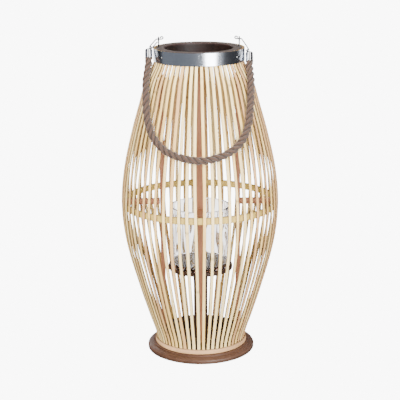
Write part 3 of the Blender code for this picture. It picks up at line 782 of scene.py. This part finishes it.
def slat_patch(azimuth, random, sizes):
    """One bent slat: a rounded rectangle carried along the cage's profile.

    Its outer face follows the profile, its middle strays sideways by a sum of two slow sines
    that vanish at both bands, and it turns a little about its own length.
    """
    heights = np.concatenate([np.linspace(0.0139, 0.540, 118), np.linspace(0.540, 0.5735, 26)[1:]])
    radius = smooth_curve(SLAT_PROFILE, heights)[:, 0]
    slope = np.gradient(radius, heights)
    share = (heights - heights[0]) / (heights[-1] - heights[0])
    hold = np.sin(np.pi * share) ** 0.8
    phase = random.uniform(0, 2 * np.pi, 3)
    stray = random.normal(0, sizes.slat_wander, 2)
    wander = hold * (stray[0] * np.sin(np.pi * share + phase[0]) + stray[1] * np.sin(
        3.1 * np.pi * share + phase[1]) * 0.6)
    roll = hold * random.normal(0, math.radians(3.0)) * np.sin(2.2 * np.pi * share + phase[2])
    width = sizes.slat_width * (random.normal(1.0, 0.045) + 0.025 * np.sin(7 * share + phase[0]))
    thick = sizes.slat_thickness * (1 + 0.03 * np.sin(9 * share + phase[1]))
    knots = random.uniform(0.05, 0.95, 2) * (heights[-1] - heights[0]) + heights[0]
    knots[1] = knots[1] if random.random() < 0.45 else -1.0
    swell = bell(heights - knots[0], 0.0022) + bell(heights - knots[1], 0.0022)
    line = bell(heights - knots[0], 0.0009) + bell(heights - knots[1], 0.0009)
    angle = np.linspace(0, 2 * np.pi, SLAT_SIDES, endpoint=False)[None, :] + np.pi / SLAT_SIDES
    across, through = rounded_section(1.0, 1.0, angle, 0.55)
    across = across * width[:, None]
    through = through * thick[:, None] * (1 + 0.10 * swell[:, None] * (through > 0))
    turned_across = across * np.cos(roll)[:, None] - through * np.sin(roll)[:, None]
    turned_through = across * np.sin(roll)[:, None] + through * np.cos(roll)[:, None]
    out_radius = 1 / np.sqrt(1 + slope**2)
    out_height = -slope * out_radius
    depth = turned_through - sizes.slat_thickness / 2
    ring = radius[:, None] + depth * out_radius[:, None]
    level = heights[:, None] + depth * out_height[:, None]
    level = np.clip(level, heights[0], heights[-1])
    sideways = turned_across + wander[:, None]
    points = around(azimuth, ring, level) + sideways[..., None] * around(azimuth + np.pi / 2, 1, 0)
    # the cut sides are the bamboo's browner tone; the inner face gets 0.35 of that colour as painted
    # shade
    side = np.clip((np.abs(across) / (width[:, None] / 2) - 0.80) / 0.16, 0, 1)
    side = np.maximum(side, np.where(through < -0.3 * thick[:, None], 0.35, 0.0))
    tone = random.uniform(-0.25, 1.05) + 0.12 * np.sin(5 * share + phase[1])
    return grid(
        points, tone=np.repeat(tone[:, None], SLAT_SIDES, axis=1), side=side,
        knot=np.repeat(line[:, None], SLAT_SIDES, axis=1),
    )


def make_slats(sizes, colours):
    """Sixty separate slats, three in each of the twenty pieces."""
    material = bamboo_finish(
        "slat_finish", colours.pale_straw, colours.straw, colours.pink_straw, colours.slat_side_and_shade,
    )
    random = np.random.default_rng(SEED)
    for bundle in range(BUNDLES):
        middle = settled((bundle + 0.5) * SLATS_PER_BUNDLE * SLAT_STEP)
        patches = [slat_patch(middle + turn * SLAT_STEP, random, sizes) for turn in (-1, 0, 1)]
        name = f"slats_{bundle + 1:02d}"
        add_piece("bamboo_" + name, patches, material, "lantern_frame", [name])


def make_base(sizes, colours):
    """Base disc with a stepped top and rounded rim, and the ring that carries the posts."""
    radius, low, high = round_size("base_disc")
    step = 0.0915
    outline = rounded_outline(
        (
            (0.0, high), (step, high), (step, high - 0.0026), (step + 0.0045, high - 0.0036),
            (radius, high - 0.0068), (radius, low), (0.0, low),
        ),
        (0, 0.0008, 0.0006, 0.0012, 0.0022, 0.0014, 0), closed=False,
    )[1:-1]
    stain = wood_finish("base_stain", colours.stain, (16.0, 150.0, 150.0))
    wear = edge_wear(outline, closed=False)[:, None]
    disc = turned(outline)
    add_piece(
        "wood_base_disc", [grid(disc, wear=wear)], stain, "lantern_frame",
        ["base_disc"],
    )
    radius, low, high = round_size("bottom_ring")
    outline = rounded_outline(
        ((sizes.bottom_ring_hole, high), (radius, high), (radius, low), (sizes.bottom_ring_hole, low)),
        (0.0012, 0.0012, 0.0004, 0.0004),
    )
    # the ring's stain is darkened to 0.4, partly its own darker stain and partly painted shade inside
    # the cage
    add_piece(
        "wood_bottom_ring", [grid(turned(outline), wrap=True, wear=edge_wear(outline)[:, None])],
        wood_finish("ring_stain_and_shade", shade(colours.stain, 0.4), (16.0, 150.0, 150.0)),
        "lantern_frame", ["bottom_ring"],
    )


def make_top_ring(sizes, colours):
    """Top ring with softened lips: reddish at the edges, grey on its worn face."""
    radius, low, high = round_size("top_ring")
    hole = sizes.top_ring_hole
    outline = rounded_outline(
        ((hole, high), (radius, high), (radius, low), (hole, low)),
        (0.0020, 0.0012, 0.0006, 0.0006), run=0.002,
    )
    # wall marks every face below the top face, which the finish darkens as painted shade
    wall = np.clip((high - outline[:, 1]) / 0.0018, 0, 1)

    def hand_cut(azimuth, height, ring_radius):
        """The hole strays from round by two slow waves."""
        inner = np.clip(1 - (ring_radius - hole) / 0.004, 0, 1)
        return inner * (0.00018 * np.sin(3 * azimuth + 0.6) + 0.0001 * np.sin(7 * azimuth))

    patch = grid(
        turned(outline, radius_change=hand_cut), wrap=True, wall=wall[:, None],
        wear=edge_wear(outline)[:, None],
    )
    add_piece(
        "wood_top_ring", [patch], top_ring_finish(colours), "lantern_frame",
        ["top_ring"],
    )


def make_collar(sizes, colours):
    """Sheet metal collar, bent round by hand.

    The sheet's radius gains slow flat spots, a full-height crease whose line wanders with
    height, a small dent under the rim, and a lapped seam at the back.
    """
    radius, low, high = round_size("collar_band")
    inner = radius - sizes.collar_sheet
    outline = rounded_outline(
        ((inner, high), (radius, high), (radius, low), (inner, low)), 0.00022, steps=3, run=0.0008
    )

    def bent(azimuth, height, ring_radius):
        """Change of radius at an azimuth and height; both faces of the sheet move together."""
        turn = (azimuth + np.pi) % (2 * np.pi) - np.pi
        share = (height - low) / (high - low)
        crease = math.radians(-17) + math.radians(1.4) * np.abs(2 * share - 1.1)
        change = 0.00014 * bell(turn - crease, math.radians(0.7))
        change = change - 0.00010 * bell(turn - crease + math.radians(1.6), math.radians(0.8))
        dent = np.hypot((turn - math.radians(1.0)) / math.radians(1.4), (share - 0.72) / 0.16)
        change = change - 0.00018 * bell(dent, 1.0)
        change = change + 0.00006 * np.sin(7 * azimuth + share) + 0.00001 * np.sin(23 * azimuth)
        lap = np.clip(1 - np.abs(turn - np.pi) / math.radians(5), 0, 1) > 0
        return change + 0.0003 * lap * (ring_radius > inner + 0.0001)

    patch = grid(turned(outline, steps=COLLAR_STEPS, radius_change=bent), wrap=True)
    add_piece(
        "steel_collar", [patch], collar_finish(colours), "lantern_frame",
        ["collar_band"], 30,
    )


def make_bands(sizes, colours):
    """Lower band over the slats' feet, and the hoop inside the belly of the cage."""
    for node, name, thickness, light, pink in (
        (
            "lower_band", "bamboo_lower_band", sizes.band_thickness, colours.band,
            shade(colours.band, 0.86),
        ),
        (
            "middle_hoop", "bamboo_middle_hoop", sizes.hoop_thickness, colours.hoop,
            shade(colours.hoop, 0.8),
        ),
    ):
        radius, low, high = round_size(node)
        outline = rounded_outline(
            ((radius - thickness, high), (radius, high), (radius, low), (radius - thickness, low)),
            0.0007, steps=4, run=0.0015,
        )
        # the bottom edge is the band's brown cut side; the stronger, wider darkening at the top edge
        # is a painted shadow line above the band and the hoop
        side = np.maximum(
            np.clip(1 - (outline[:, 1] - low) / 0.0008, 0, 1),
            np.clip(1.4 - (high - outline[:, 1]) / 0.0008, 0, 1),
        )[:, None]
        points = turned(outline)
        turn = np.linspace(0, 2 * np.pi, ROUND_STEPS, endpoint=False)[None, :]
        tone = 0.4 + 0.3 * np.sin(2 * turn + 0.8) + 0.2 * np.sin(5 * turn)
        knot = sum(
            bell(((turn - place + np.pi) % (2 * np.pi) - np.pi) * radius, 0.0011)
            for place in KNOT_PLACES
        )
        patch = grid(
            points, wrap=True, side=side, tone=np.broadcast_to(tone, points.shape[:2]),
            knot=np.broadcast_to(knot, points.shape[:2]),
        )
        material = bamboo_finish(
            name + "_finish", shade(light, 1.25), light, pink, shade(colours.slat_side_and_shade, 0.8),
            fibre=14.0, along=1500.0,
        )
        add_piece(name, [patch], material, "lantern_frame", [node])


def make_posts(colours):
    """Four posts and the four spokes that hold the middle hoop: planed sticks, edges broken.

    Each is a rounded rectangle carried along a straight line, and a post's line bows by a
    third of a millimetre.
    """
    stain = wood_finish("post_stain", colours.post_stain, (420.0, 26.0, 1.0), 0.55, 1.3, "UV")
    angle = np.linspace(0, 2 * np.pi, 24, endpoint=False) + np.pi / 24
    for number, side in enumerate(SIDES):
        azimuth = number * math.pi / 2
        low, high = (np.array(corner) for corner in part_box("post_" + side))
        centre = (low + high) / 2
        length_ = high[2] - low[2]
        width, depth = sorted(high[:2] - low[:2], reverse=True)
        share = np.linspace(0, 1, 90)
        line = centre + np.stack([0 * share, 0 * share, (share - 0.5) * length_], axis=-1)
        out = around(azimuth, 1.0, 0.0)
        bow = POST_BOW * np.sin(np.pi * share + number) * np.sin(np.pi * share)
        line = line + bow[:, None] * out
        across, through = rounded_section(width, depth, angle, 0.22)
        points = swept(line, np.stack([across, through], axis=-1), out)
        wear = np.broadcast_to(
            np.clip((np.abs(across / width) * np.abs(through / depth) * 4 - 0.75) / 0.2, 0, 1),
            points.shape[:2],
        )
        add_piece(
            "wood_post_" + side, [grid(points, wear=wear)], stain, "lantern_frame",
            ["post_" + side], 30,
        )
        low, high = (np.array(corner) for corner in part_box("spoke_" + side))
        centre = (low + high) / 2
        run = abs(float((high - low) @ out))
        share = np.linspace(-0.5, 0.5, 24)
        line = centre + share[:, None] * run * out
        across, through = rounded_section(width, high[2] - low[2], angle, 0.2)
        points = swept(line, np.stack([across, through], axis=-1), np.array([0.0, 0.0, 1.0]))
        add_piece(
            "wood_spoke_" + side, [grid(points, wear=wear[:24])], stain, "lantern_frame",
            ["spoke_" + side], 30,
        )


def make_platform(colours):
    """Candle platform with a broken edge, on its round column."""
    radius, low, high = round_size("platform")
    stain = wood_finish("platform_stain", shade(colours.stain, 0.72), (20.0, 170.0, 170.0))
    outline = rounded_outline(
        ((0.0, high), (radius, high), (radius, low), (0.0, low)), (0, 0.0012, 0.0008, 0),
        closed=False,
    )[1:-1]
    wear = edge_wear(outline, closed=False)[:, None] * 0.3
    add_piece(
        "wood_platform", [grid(turned(outline), wear=wear)], stain, "lantern_frame",
        ["platform"],
    )
    radius, low, high = round_size("center_column")
    outline = rounded_outline(
        ((0.0, high), (radius, high), (radius, low), (0.0, low)), (0, 0.0006, 0.0006, 0),
        closed=False,
    )[1:-1]
    add_piece(
        "wood_center_column",
        [grid(turned(outline, 96), wear=edge_wear(outline, closed=False)[:, None])],
        wood_finish("column_stain", colours.stain, (170.0, 170.0, 20.0)),
        "lantern_frame", ["center_column"],
    )


def make_glass(sizes, colours):
    """Glass cylinder with a thick floor, a fire-polished rim and faintly rippled walls."""
    radius, low, high = round_size("glass_cylinder")
    inner = radius - sizes.glass_wall
    floor = low + sizes.glass_floor
    outline = rounded_outline(
        (
            (0.0, floor), (inner, floor), (inner, high), (radius, high), (radius, low), (0.0, low),
        ),
        (0, 0.0035, 0.0015, 0.0015, 0.003, 0), closed=False, run=0.002,
    )[1:-1]

    def ripple(azimuth, height, ring_radius):
        """Slow waves that lean with height, deeper on the inner wall than on the outer one."""
        wall = np.clip((height - floor - 0.004) / 0.012, 0, 1) * (ring_radius > inner - 0.002)
        depth = np.where(ring_radius < (inner + radius) / 2, 0.00022, 0.00008)
        wave = np.sin(11 * azimuth + 35 * height) + 0.6 * np.sin(17 * azimuth - 60 * height + 1)
        return wall * depth * wave - wall * 0.0001

    add_piece(
        "clear_glass_cylinder", [grid(turned(outline, radius_change=ripple))],
        glass_finish(colours), "glass", ["glass_cylinder"], 60,
    )


def make_caps(sizes, colours):
    """Rope caps: drawn metal sleeves with a hollow skirt, a rolled bead and a wire loop."""
    chrome = metal_finish("cap_chrome", colours.chrome, 0.07, 0.1)
    wall = 0.0006
    turn = np.linspace(0, 2 * np.pi, 48, endpoint=False)[:, None]
    for side, hand, cap_drop, _ in HANDS:
        top = -cap_drop
        bottom = top - CAP_LENGTH
        outline = rounded_outline(
            (
                (0.0, top), (CAP_RADIUS - 0.0002, top), (CAP_RADIUS - 0.0002, bottom + 0.0022),
                (CAP_RADIUS, bottom + 0.0018), (CAP_RADIUS, bottom), (CAP_RADIUS - wall, bottom),
                (CAP_RADIUS - wall, bottom + 0.0045), (0.0, bottom + 0.0045),
            ),
            (0, 0.0016, 0.0002, 0.0002, 0.0002, 0.0002, 0.0008, 0), closed=False, run=0.0015,
        )[1:-1]
        sleeve = turned(outline, 64) + (CAP_X, 0.0, 0.0)
        lean = unit(np.array([LINK_START_X - CAP_X, 0.0, cap_drop]))
        square = np.array([-lean[2], 0.0, lean[0]])
        middle = np.array([CAP_X, 0.0, top]) + lean * CAP_LOOP_RADIUS
        ring = middle + CAP_LOOP_RADIUS * (
            np.cos(turn) * lean + np.sin(turn) * np.array([0.0, 1.0, 0.0])
        )
        loop = swept(ring, circle(sizes.loop_wire, 12), square, ends_closed=True)
        patches = [grid(hung(sleeve, side)), grid(hung(loop, side), wrap=True)]
        add_piece(
            "chrome_rope_cap_" + hand, patches, chrome, "handle",
            ["rope_cap_" + hand],
        )


def link_line(cap_drop, free_leg):
    """Route of a wire link in the hinge frame, from its curl, through the eye, to its free leg.

    The curl is two thirds of a circle, the long leg runs down to the cap's top, turns in a half
    circle round the cap's loop, and the free leg runs back beside it.
    """
    cap_top = np.array([CAP_X, 0.0, -cap_drop])
    down = unit(cap_top - (LINK_START_X, 0.0, 0.0))
    across = np.array([-down[2], 0.0, down[0]])
    bend = cap_top - down * LINK_BEND
    half = LINK_SPACING / 2
    curl = np.radians(np.linspace(-10, 240, 26))[:, None]
    centre = np.array([LINK_CURL_X, 0.0, LINK_CURL_RADIUS])
    curl = centre + LINK_CURL_RADIUS * (
        np.cos(curl) * np.array([1.0, 0, 0]) + np.sin(curl) * np.array([0, 0, 1.0])
    )
    upper = bend + across * half
    corner = upper - down * (upper[2] / down[2])
    share = np.linspace(0, 1, 8)[:, None]
    before = corner - np.array([LINK_CORNER, 0.0, 0.0])
    after = corner + down * LINK_CORNER
    fillet = (1 - share) ** 2 * before + 2 * share * (1 - share) * corner + share**2 * after
    angle = np.radians(np.linspace(90, -90, 20))[:, None]
    turn = bend - down * half + across * half * np.sin(angle) + down * half * np.cos(angle)
    start = np.array([[LINK_CURL_X, 0.0, 0.0]])
    leg = np.linspace(0.15, 1.0, 6)[:, None] * free_leg
    tail = bend - across * half - down * (half + leg)
    return np.concatenate([curl, start, fillet, turn, tail])


def make_wires(sizes, colours):
    """Screw eyes in the top ring, and the wire links from them to the caps.

    An eye is one wire: up the shank, then a smooth curve into a circle that ends short of the
    shank. A link follows link_line.
    """
    chrome = metal_finish("wire_chrome", colours.wire, 0.16, 0.15)
    turn = np.radians(np.linspace(-62, 248, 20))
    ring = EYE_RING_RADIUS * np.stack([0 * turn, np.cos(turn), np.sin(turn)], axis=-1)
    neck = -EYE_RING_RADIUS - 0.0014
    shank = np.array([
        (0.0, 0.0, EYE_SHANK_END), (0.0, 0.0, EYE_FOOT), (0.0, 0.0, neck - 0.002),
        (0.0, 0.0002, neck),
    ])
    eye_line = smooth_path(np.concatenate([shank, ring]), 110)
    ridges = 0.10 * np.sin(eye_line[:, 2] * 2 * np.pi / EYE_THREAD_PITCH)
    thread = np.where(eye_line[:, 2] < -0.0160, ridges, 0)
    section = circle(sizes.eye_wire, 14)[None] * (1 + np.minimum(0, thread))[:, None, None]
    eye = swept(eye_line, section, np.array([1.0, 0.0, 0.0]))
    for side, hand, cap_drop, free_leg in HANDS:
        link = smooth_path(link_line(cap_drop, free_leg), 160)
        wire = swept(link, circle(sizes.link_wire, 12), np.array([0.0, 1.0, 0.0]))
        add_piece(
            "chrome_screw_eye_" + hand, [grid(eye + (side * EYE_X, 0.0, HINGE_HEIGHT))], chrome,
            "lantern_frame", ["screw_eye_" + hand],
        )
        add_piece(
            "chrome_link_" + hand, [grid(hung(wire, side))], chrome, "handle",
            ["link_" + hand],
        )


def make_fasteners(colours):
    """Domed nails through the collar, and the finish of the screws, which keep their solids."""
    zinc = metal_finish("zinc_plate", colours.zinc, 0.22, 0.5)
    for number in range(1, 5):
        node = f"collar_nail_{number}"
        low, high = (np.array(corner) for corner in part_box(node))
        middle = (low + high) / 2
        azimuth = math.atan2(middle[0], -middle[1])
        out = around(azimuth, 1.0, 0.0)
        outline = np.array(
            [(0.0014 * math.cos(a), 0.0008 * math.sin(a)) for a in np.linspace(1.45, 0, 8)]
            + [(0.0007, -0.0001), (0.0007, -0.008), (0.0002, -0.0095)]
        )
        centre = around(azimuth, round_size("collar_band")[0] + 0.0003, middle[2])
        points = placed(
            turned(outline, 24), centre, around(azimuth + np.pi / 2, 1.0, 0.0),
            np.array([0.0, 0.0, 1.0]), out,
        )
        add_piece(
            "steel_collar_nail_" + str(number), [grid(points)], zinc, "lantern_frame",
            [node],
        )
    for node in ["base_screw_" + side for side in SIDES] + ["column_screw", "platform_screw"]:
        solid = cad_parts[node]
        solid.data.materials.clear()
        solid.data.materials.append(zinc)


# ---------------------------------------------------------------- stage

def open_surface(name, points, material):
    """A patch whose columns close on themselves and whose rows don't, facing up and inwards."""
    rows, columns = points.shape[:2]
    row, column = np.meshgrid(np.arange(rows - 1), np.arange(columns), indexing="ij")
    row = row.reshape(-1, 1) + np.array([[0, 0, 1, 1]])
    column = column.reshape(-1, 1) + np.array([[0, 1, 1, 0]])
    faces = (row * columns + column % columns).tolist()
    mesh = bpy.data.meshes.new(name)
    mesh.from_pydata(points.reshape(-1, 3).tolist(), [], faces)
    mesh.materials.append(material)
    mesh.shade_smooth()
    obj = bpy.data.objects.new(name, mesh)
    bpy.context.scene.collection.objects.link(obj)
    return obj


def make_floor(stage):
    """Pale studio floor that rises into a round backdrop: a flat disc, then a quarter circle."""
    material = bpy.data.materials.new("studio_floor")
    material.use_nodes = True
    tree = material.node_tree
    tree.nodes.clear()
    rays = tree.nodes.new("ShaderNodeLightPath")
    diffuse = tree.nodes.new("ShaderNodeBsdfDiffuse")
    diffuse.inputs["Color"].default_value = (0.25, 0.25, 0.25, 1.0)
    room = tree.nodes.new("ShaderNodeEmission")
    room.inputs["Strength"].default_value = stage.room_level
    dark = tree.nodes.new("ShaderNodeEmission")
    dark.inputs["Color"].default_value = (0.84, 0.9, 1.0, 1.0)
    dark.inputs["Strength"].default_value = 0.34
    bright = tree.nodes.new("ShaderNodeEmission")
    lit = tree.nodes.new("ShaderNodeAddShader")
    tree.links.new(diffuse.outputs[0], lit.inputs[0])
    tree.links.new(room.outputs[0], lit.inputs[1])
    mirrored = tree.nodes.new("ShaderNodeMixShader")
    tree.links.new(rays.outputs["Is Glossy Ray"], mirrored.inputs[0])
    tree.links.new(lit.outputs[0], mirrored.inputs[1])
    tree.links.new(dark.outputs[0], mirrored.inputs[2])
    seen = tree.nodes.new("ShaderNodeMixShader")
    direct = tree.nodes.new("ShaderNodeMath")
    direct.operation = "MAXIMUM"
    tree.links.new(rays.outputs["Is Camera Ray"], direct.inputs[0])
    tree.links.new(rays.outputs["Is Transmission Ray"], direct.inputs[1])
    tree.links.new(direct.outputs[0], seen.inputs[0])
    level = tree.nodes.new("ShaderNodeMapRange")
    level.inputs["To Min"].default_value = stage.floor_level
    tree.links.new(rays.outputs["Is Transmission Ray"], level.inputs["Value"])
    places = tree.nodes.new("ShaderNodeTexCoord")
    axes = tree.nodes.new("ShaderNodeSeparateXYZ")
    tree.links.new(places.outputs["Object"], axes.inputs[0])
    fade = tree.nodes.new("ShaderNodeMapRange")
    fade.inputs["From Min"].default_value = 0.7
    fade.inputs["From Max"].default_value = 1.6
    fade.inputs["To Min"].default_value = stage.glass_level
    fade.inputs["To Max"].default_value = 0.3
    tree.links.new(axes.outputs["Z"], fade.inputs["Value"])
    tree.links.new(fade.outputs["Result"], level.inputs["To Max"])
    tree.links.new(level.outputs["Result"], bright.inputs["Strength"])
    tree.links.new(mirrored.outputs[0], seen.inputs[1])
    tree.links.new(bright.outputs[0], seen.inputs[2])
    output = tree.nodes.new("ShaderNodeOutputMaterial")
    tree.links.new(seen.outputs[0], output.inputs["Surface"])
    angle = np.linspace(0, np.pi / 2, 24)
    radius = np.concatenate([[0.001, 0.5, 1.5, 3.0], 4.0 + 2.0 * np.sin(angle)])
    height = np.concatenate([np.zeros(4), 2.0 - 2.0 * np.cos(angle)])
    radius, height = np.append(radius, 6.0), np.append(height, 5.0)
    turn = np.linspace(0, 2 * np.pi, 96, endpoint=False)[None, :]
    open_surface("studio_floor", around(turn, radius[:, None], height[:, None] - 0.0004), material)


def soft_light(name, azimuth, distance, height, target, width, tall, power, glossy=True):
    """An area light at an azimuth and height, turned to a height on the lantern's axis."""
    data = bpy.data.lights.new(name, "AREA")
    data.shape = "RECTANGLE"
    data.size = width
    data.size_y = tall
    data.energy = power
    light = bpy.data.objects.new(name, data)
    bpy.context.scene.collection.objects.link(light)
    place = around(math.radians(azimuth), distance, height)
    light.location = place
    aim = np.array([0.0, 0.0, target]) - place
    light.rotation_mode = "QUATERNION"
    light.rotation_quaternion = Vector(aim).to_track_quat("-Z", "Y")
    light.visible_camera = False
    light.visible_glossy = glossy
    return light


def make_flag(name, start, end, distance, low, high, glow=0.0):
    """A screen that only mirrors see, dark or glowing: part of a cylinder between azimuths."""
    material = bpy.data.materials.new(name)
    material.use_nodes = True
    shader = material.node_tree.nodes["Principled BSDF"]
    shader.inputs["Base Color"].default_value = (0.01, 0.01, 0.012, 1.0)
    shader.inputs["Roughness"].default_value = 1.0
    shader.inputs["Emission Color"].default_value = (1.0, 1.0, 1.0, 1.0)
    shader.inputs["Emission Strength"].default_value = glow
    turn = np.radians(np.linspace(start, end, 16))[None, :]
    level = np.array([low, high])[:, None]
    points = around(turn, distance, level)
    index = np.arange(15)
    faces = np.stack([index, index + 1, index + 17, index + 16], axis=1).tolist()
    mesh = bpy.data.meshes.new(name)
    mesh.from_pydata(points.reshape(-1, 3).tolist(), [], faces)
    mesh.materials.append(material)
    flag = bpy.data.objects.new(name, mesh)
    bpy.context.scene.collection.objects.link(flag)
    flag.visible_camera = False
    flag.visible_diffuse = False
    flag.visible_transmission = False
    flag.visible_shadow = False


def make_camera(stage):
    """The camera in front of the lantern, looking down at it."""
    data = bpy.data.cameras.new("front_camera")
    data.sensor_width = 36.0
    data.lens = stage.lens
    data.clip_end = 50.0
    camera = bpy.data.objects.new("front_camera", data)
    bpy.context.scene.collection.objects.link(camera)
    place = Matrix.Translation((0.0, -stage.camera_distance, stage.camera_height))
    tilt = Matrix.Rotation(math.pi / 2 - stage.camera_pitch, 4, "X")
    camera.matrix_world = place @ tilt @ Matrix.Rotation(stage.camera_roll, 4, "Z")
    bpy.context.scene.camera = camera


def make_lights(stage):
    """Softboxes and rims, screens that only mirrors see, and a dim room."""
    soft_light("key_softbox", 29, 1.5, 0.82, 0.75, 0.72, 1.6, stage.key_power)
    soft_light("left_key", -30, 1.6, 1.0, 0.5, 0.8, 1.2, stage.fill_power, glossy=False)
    soft_light("overhead", 10, 0.6, 2.1, 0.3, 1.2, 1.2, stage.top_power, glossy=False)
    soft_light("back_right", 150, 1.7, 0.9, 0.35, 0.9, 1.2, stage.back_power, glossy=False)
    soft_light("back_left", -150, 1.7, 0.9, 0.35, 0.9, 1.2, stage.back_power, glossy=False)
    soft_light("right_rim", 124, 1.5, 0.7, 0.5, 0.10, 1.3, 2.0)
    soft_light("left_rim", -150, 1.5, 0.7, 0.5, 0.60, 1.3, 8.0)
    make_flag("right_flag", 60, 121, 1.4, 0.0, 1.6)
    make_flag("left_flag", -138, -104, 1.4, 0.0, 1.6)
    make_flag("right_strip", 22, 56, 1.5, 1.7, 3.6, 5.0)
    make_flag("left_strip", -56, -22, 1.5, 1.7, 3.6, 5.0)
    world = bpy.data.worlds.new("studio_room")
    world.use_nodes = True
    tree = world.node_tree
    background = tree.nodes["Background"]
    background.inputs["Color"].default_value = (0.9, 0.94, 1.0, 1.0)
    rays = tree.nodes.new("ShaderNodeLightPath")
    level = tree.nodes.new("ShaderNodeMapRange")
    level.inputs["To Min"].default_value = 0.14
    level.inputs["To Max"].default_value = 0.05
    tree.links.new(rays.outputs["Is Glossy Ray"], level.inputs["Value"])
    tree.links.new(level.outputs["Result"], background.inputs["Strength"])
    bpy.context.scene.world = world


# ---------------------------------------------------------------- operators

class LanternOperator(Operator):
    """Shared settings of the lantern's operators."""

    bl_options = {"REGISTER", "UNDO"}


class LANTERN_OT_stage(LanternOperator):
    """Make the camera, the floor and the lights"""

    bl_idname = "lantern.stage"
    bl_label = "Stage"

    def execute(self, context):
        stage = settings()[2]
        make_camera(stage)
        make_floor(stage)
        make_lights(stage)
        return {"FINISHED"}


class LANTERN_OT_rope(LanternOperator):
    """Make the laid rope of the handle"""

    bl_idname = "lantern.rope"
    bl_label = "Rope"

    def execute(self, context):
        make_rope(*settings())
        return {"FINISHED"}


class LANTERN_OT_slats(LanternOperator):
    """Make the sixty bamboo slats"""

    bl_idname = "lantern.slats"
    bl_label = "Slats"

    def execute(self, context):
        make_slats(*settings()[:2])
        return {"FINISHED"}


class LANTERN_OT_base(LanternOperator):
    """Make the base disc and the bottom ring"""

    bl_idname = "lantern.base"
    bl_label = "Base"

    def execute(self, context):
        make_base(*settings()[:2])
        return {"FINISHED"}


class LANTERN_OT_top_ring(LanternOperator):
    """Make the top ring"""

    bl_idname = "lantern.top_ring"
    bl_label = "Top ring"

    def execute(self, context):
        make_top_ring(*settings()[:2])
        return {"FINISHED"}


class LANTERN_OT_collar(LanternOperator):
    """Make the metal collar"""

    bl_idname = "lantern.collar"
    bl_label = "Collar"

    def execute(self, context):
        make_collar(*settings()[:2])
        return {"FINISHED"}


class LANTERN_OT_bands(LanternOperator):
    """Make the lower band and the middle hoop"""

    bl_idname = "lantern.bands"
    bl_label = "Bands"

    def execute(self, context):
        make_bands(*settings()[:2])
        return {"FINISHED"}


class LANTERN_OT_posts(LanternOperator):
    """Make the posts and the spokes"""

    bl_idname = "lantern.posts"
    bl_label = "Posts and spokes"

    def execute(self, context):
        make_posts(settings()[1])
        return {"FINISHED"}


class LANTERN_OT_platform(LanternOperator):
    """Make the candle platform and its column"""

    bl_idname = "lantern.platform"
    bl_label = "Platform"

    def execute(self, context):
        make_platform(settings()[1])
        return {"FINISHED"}


class LANTERN_OT_glass(LanternOperator):
    """Make the glass cylinder"""

    bl_idname = "lantern.glass"
    bl_label = "Glass"

    def execute(self, context):
        make_glass(*settings()[:2])
        return {"FINISHED"}


class LANTERN_OT_caps(LanternOperator):
    """Make the two rope caps"""

    bl_idname = "lantern.caps"
    bl_label = "Rope caps"

    def execute(self, context):
        make_caps(*settings()[:2])
        return {"FINISHED"}


class LANTERN_OT_wires(LanternOperator):
    """Make the screw eyes and the links"""

    bl_idname = "lantern.wires"
    bl_label = "Eyes and links"

    def execute(self, context):
        make_wires(*settings()[:2])
        return {"FINISHED"}


class LANTERN_OT_fasteners(LanternOperator):
    """Make the collar nails and finish the screws"""

    bl_idname = "lantern.fasteners"
    bl_label = "Fasteners"

    def execute(self, context):
        make_fasteners(settings()[1])
        return {"FINISHED"}


OPERATORS = (
    LANTERN_OT_stage, LANTERN_OT_rope, LANTERN_OT_slats, LANTERN_OT_base, LANTERN_OT_top_ring,
    LANTERN_OT_collar, LANTERN_OT_bands, LANTERN_OT_posts, LANTERN_OT_platform,
    LANTERN_OT_glass, LANTERN_OT_caps, LANTERN_OT_wires, LANTERN_OT_fasteners,
)


class VIEW3D_PT_lantern(Panel):
    """Sidebar panel with the lantern's settings and steps"""

    bl_label = "Bamboo Lantern"
    bl_idname = "VIEW3D_PT_lantern"
    bl_space_type = "VIEW_3D"
    bl_region_type = "UI"
    bl_category = "Lantern"

    def draw(self, context):
        for group in settings():
            box = self.layout.box()
            for name in group.__annotations__:
                box.prop(group, name)
        for operator in OPERATORS:
            self.layout.operator(operator.bl_idname)


GROUPS = (
    ("lantern_sizes", LanternSizes), ("lantern_colours", LanternColours),
    ("lantern_stage", LanternStage),
)


def register():
    """Register the classes and hang the settings on the scene."""
    for name, group in GROUPS:
        bpy.utils.register_class(group)
        setattr(bpy.types.Scene, name, PointerProperty(type=group))
    for cls in (*OPERATORS, VIEW3D_PT_lantern):
        bpy.utils.register_class(cls)


def unregister():
    """Undo register."""
    for cls in reversed((*OPERATORS, VIEW3D_PT_lantern)):
        bpy.utils.unregister_class(cls)
    for name, group in reversed(GROUPS):
        delattr(bpy.types.Scene, name)
        bpy.utils.unregister_class(group)


def main():
    """Make every piece in order."""
    register()
    for operator in OPERATORS:
        group, name = operator.bl_idname.split(".")
        getattr(getattr(bpy.ops, group), name)()


if __name__ == "__main__":
    main()
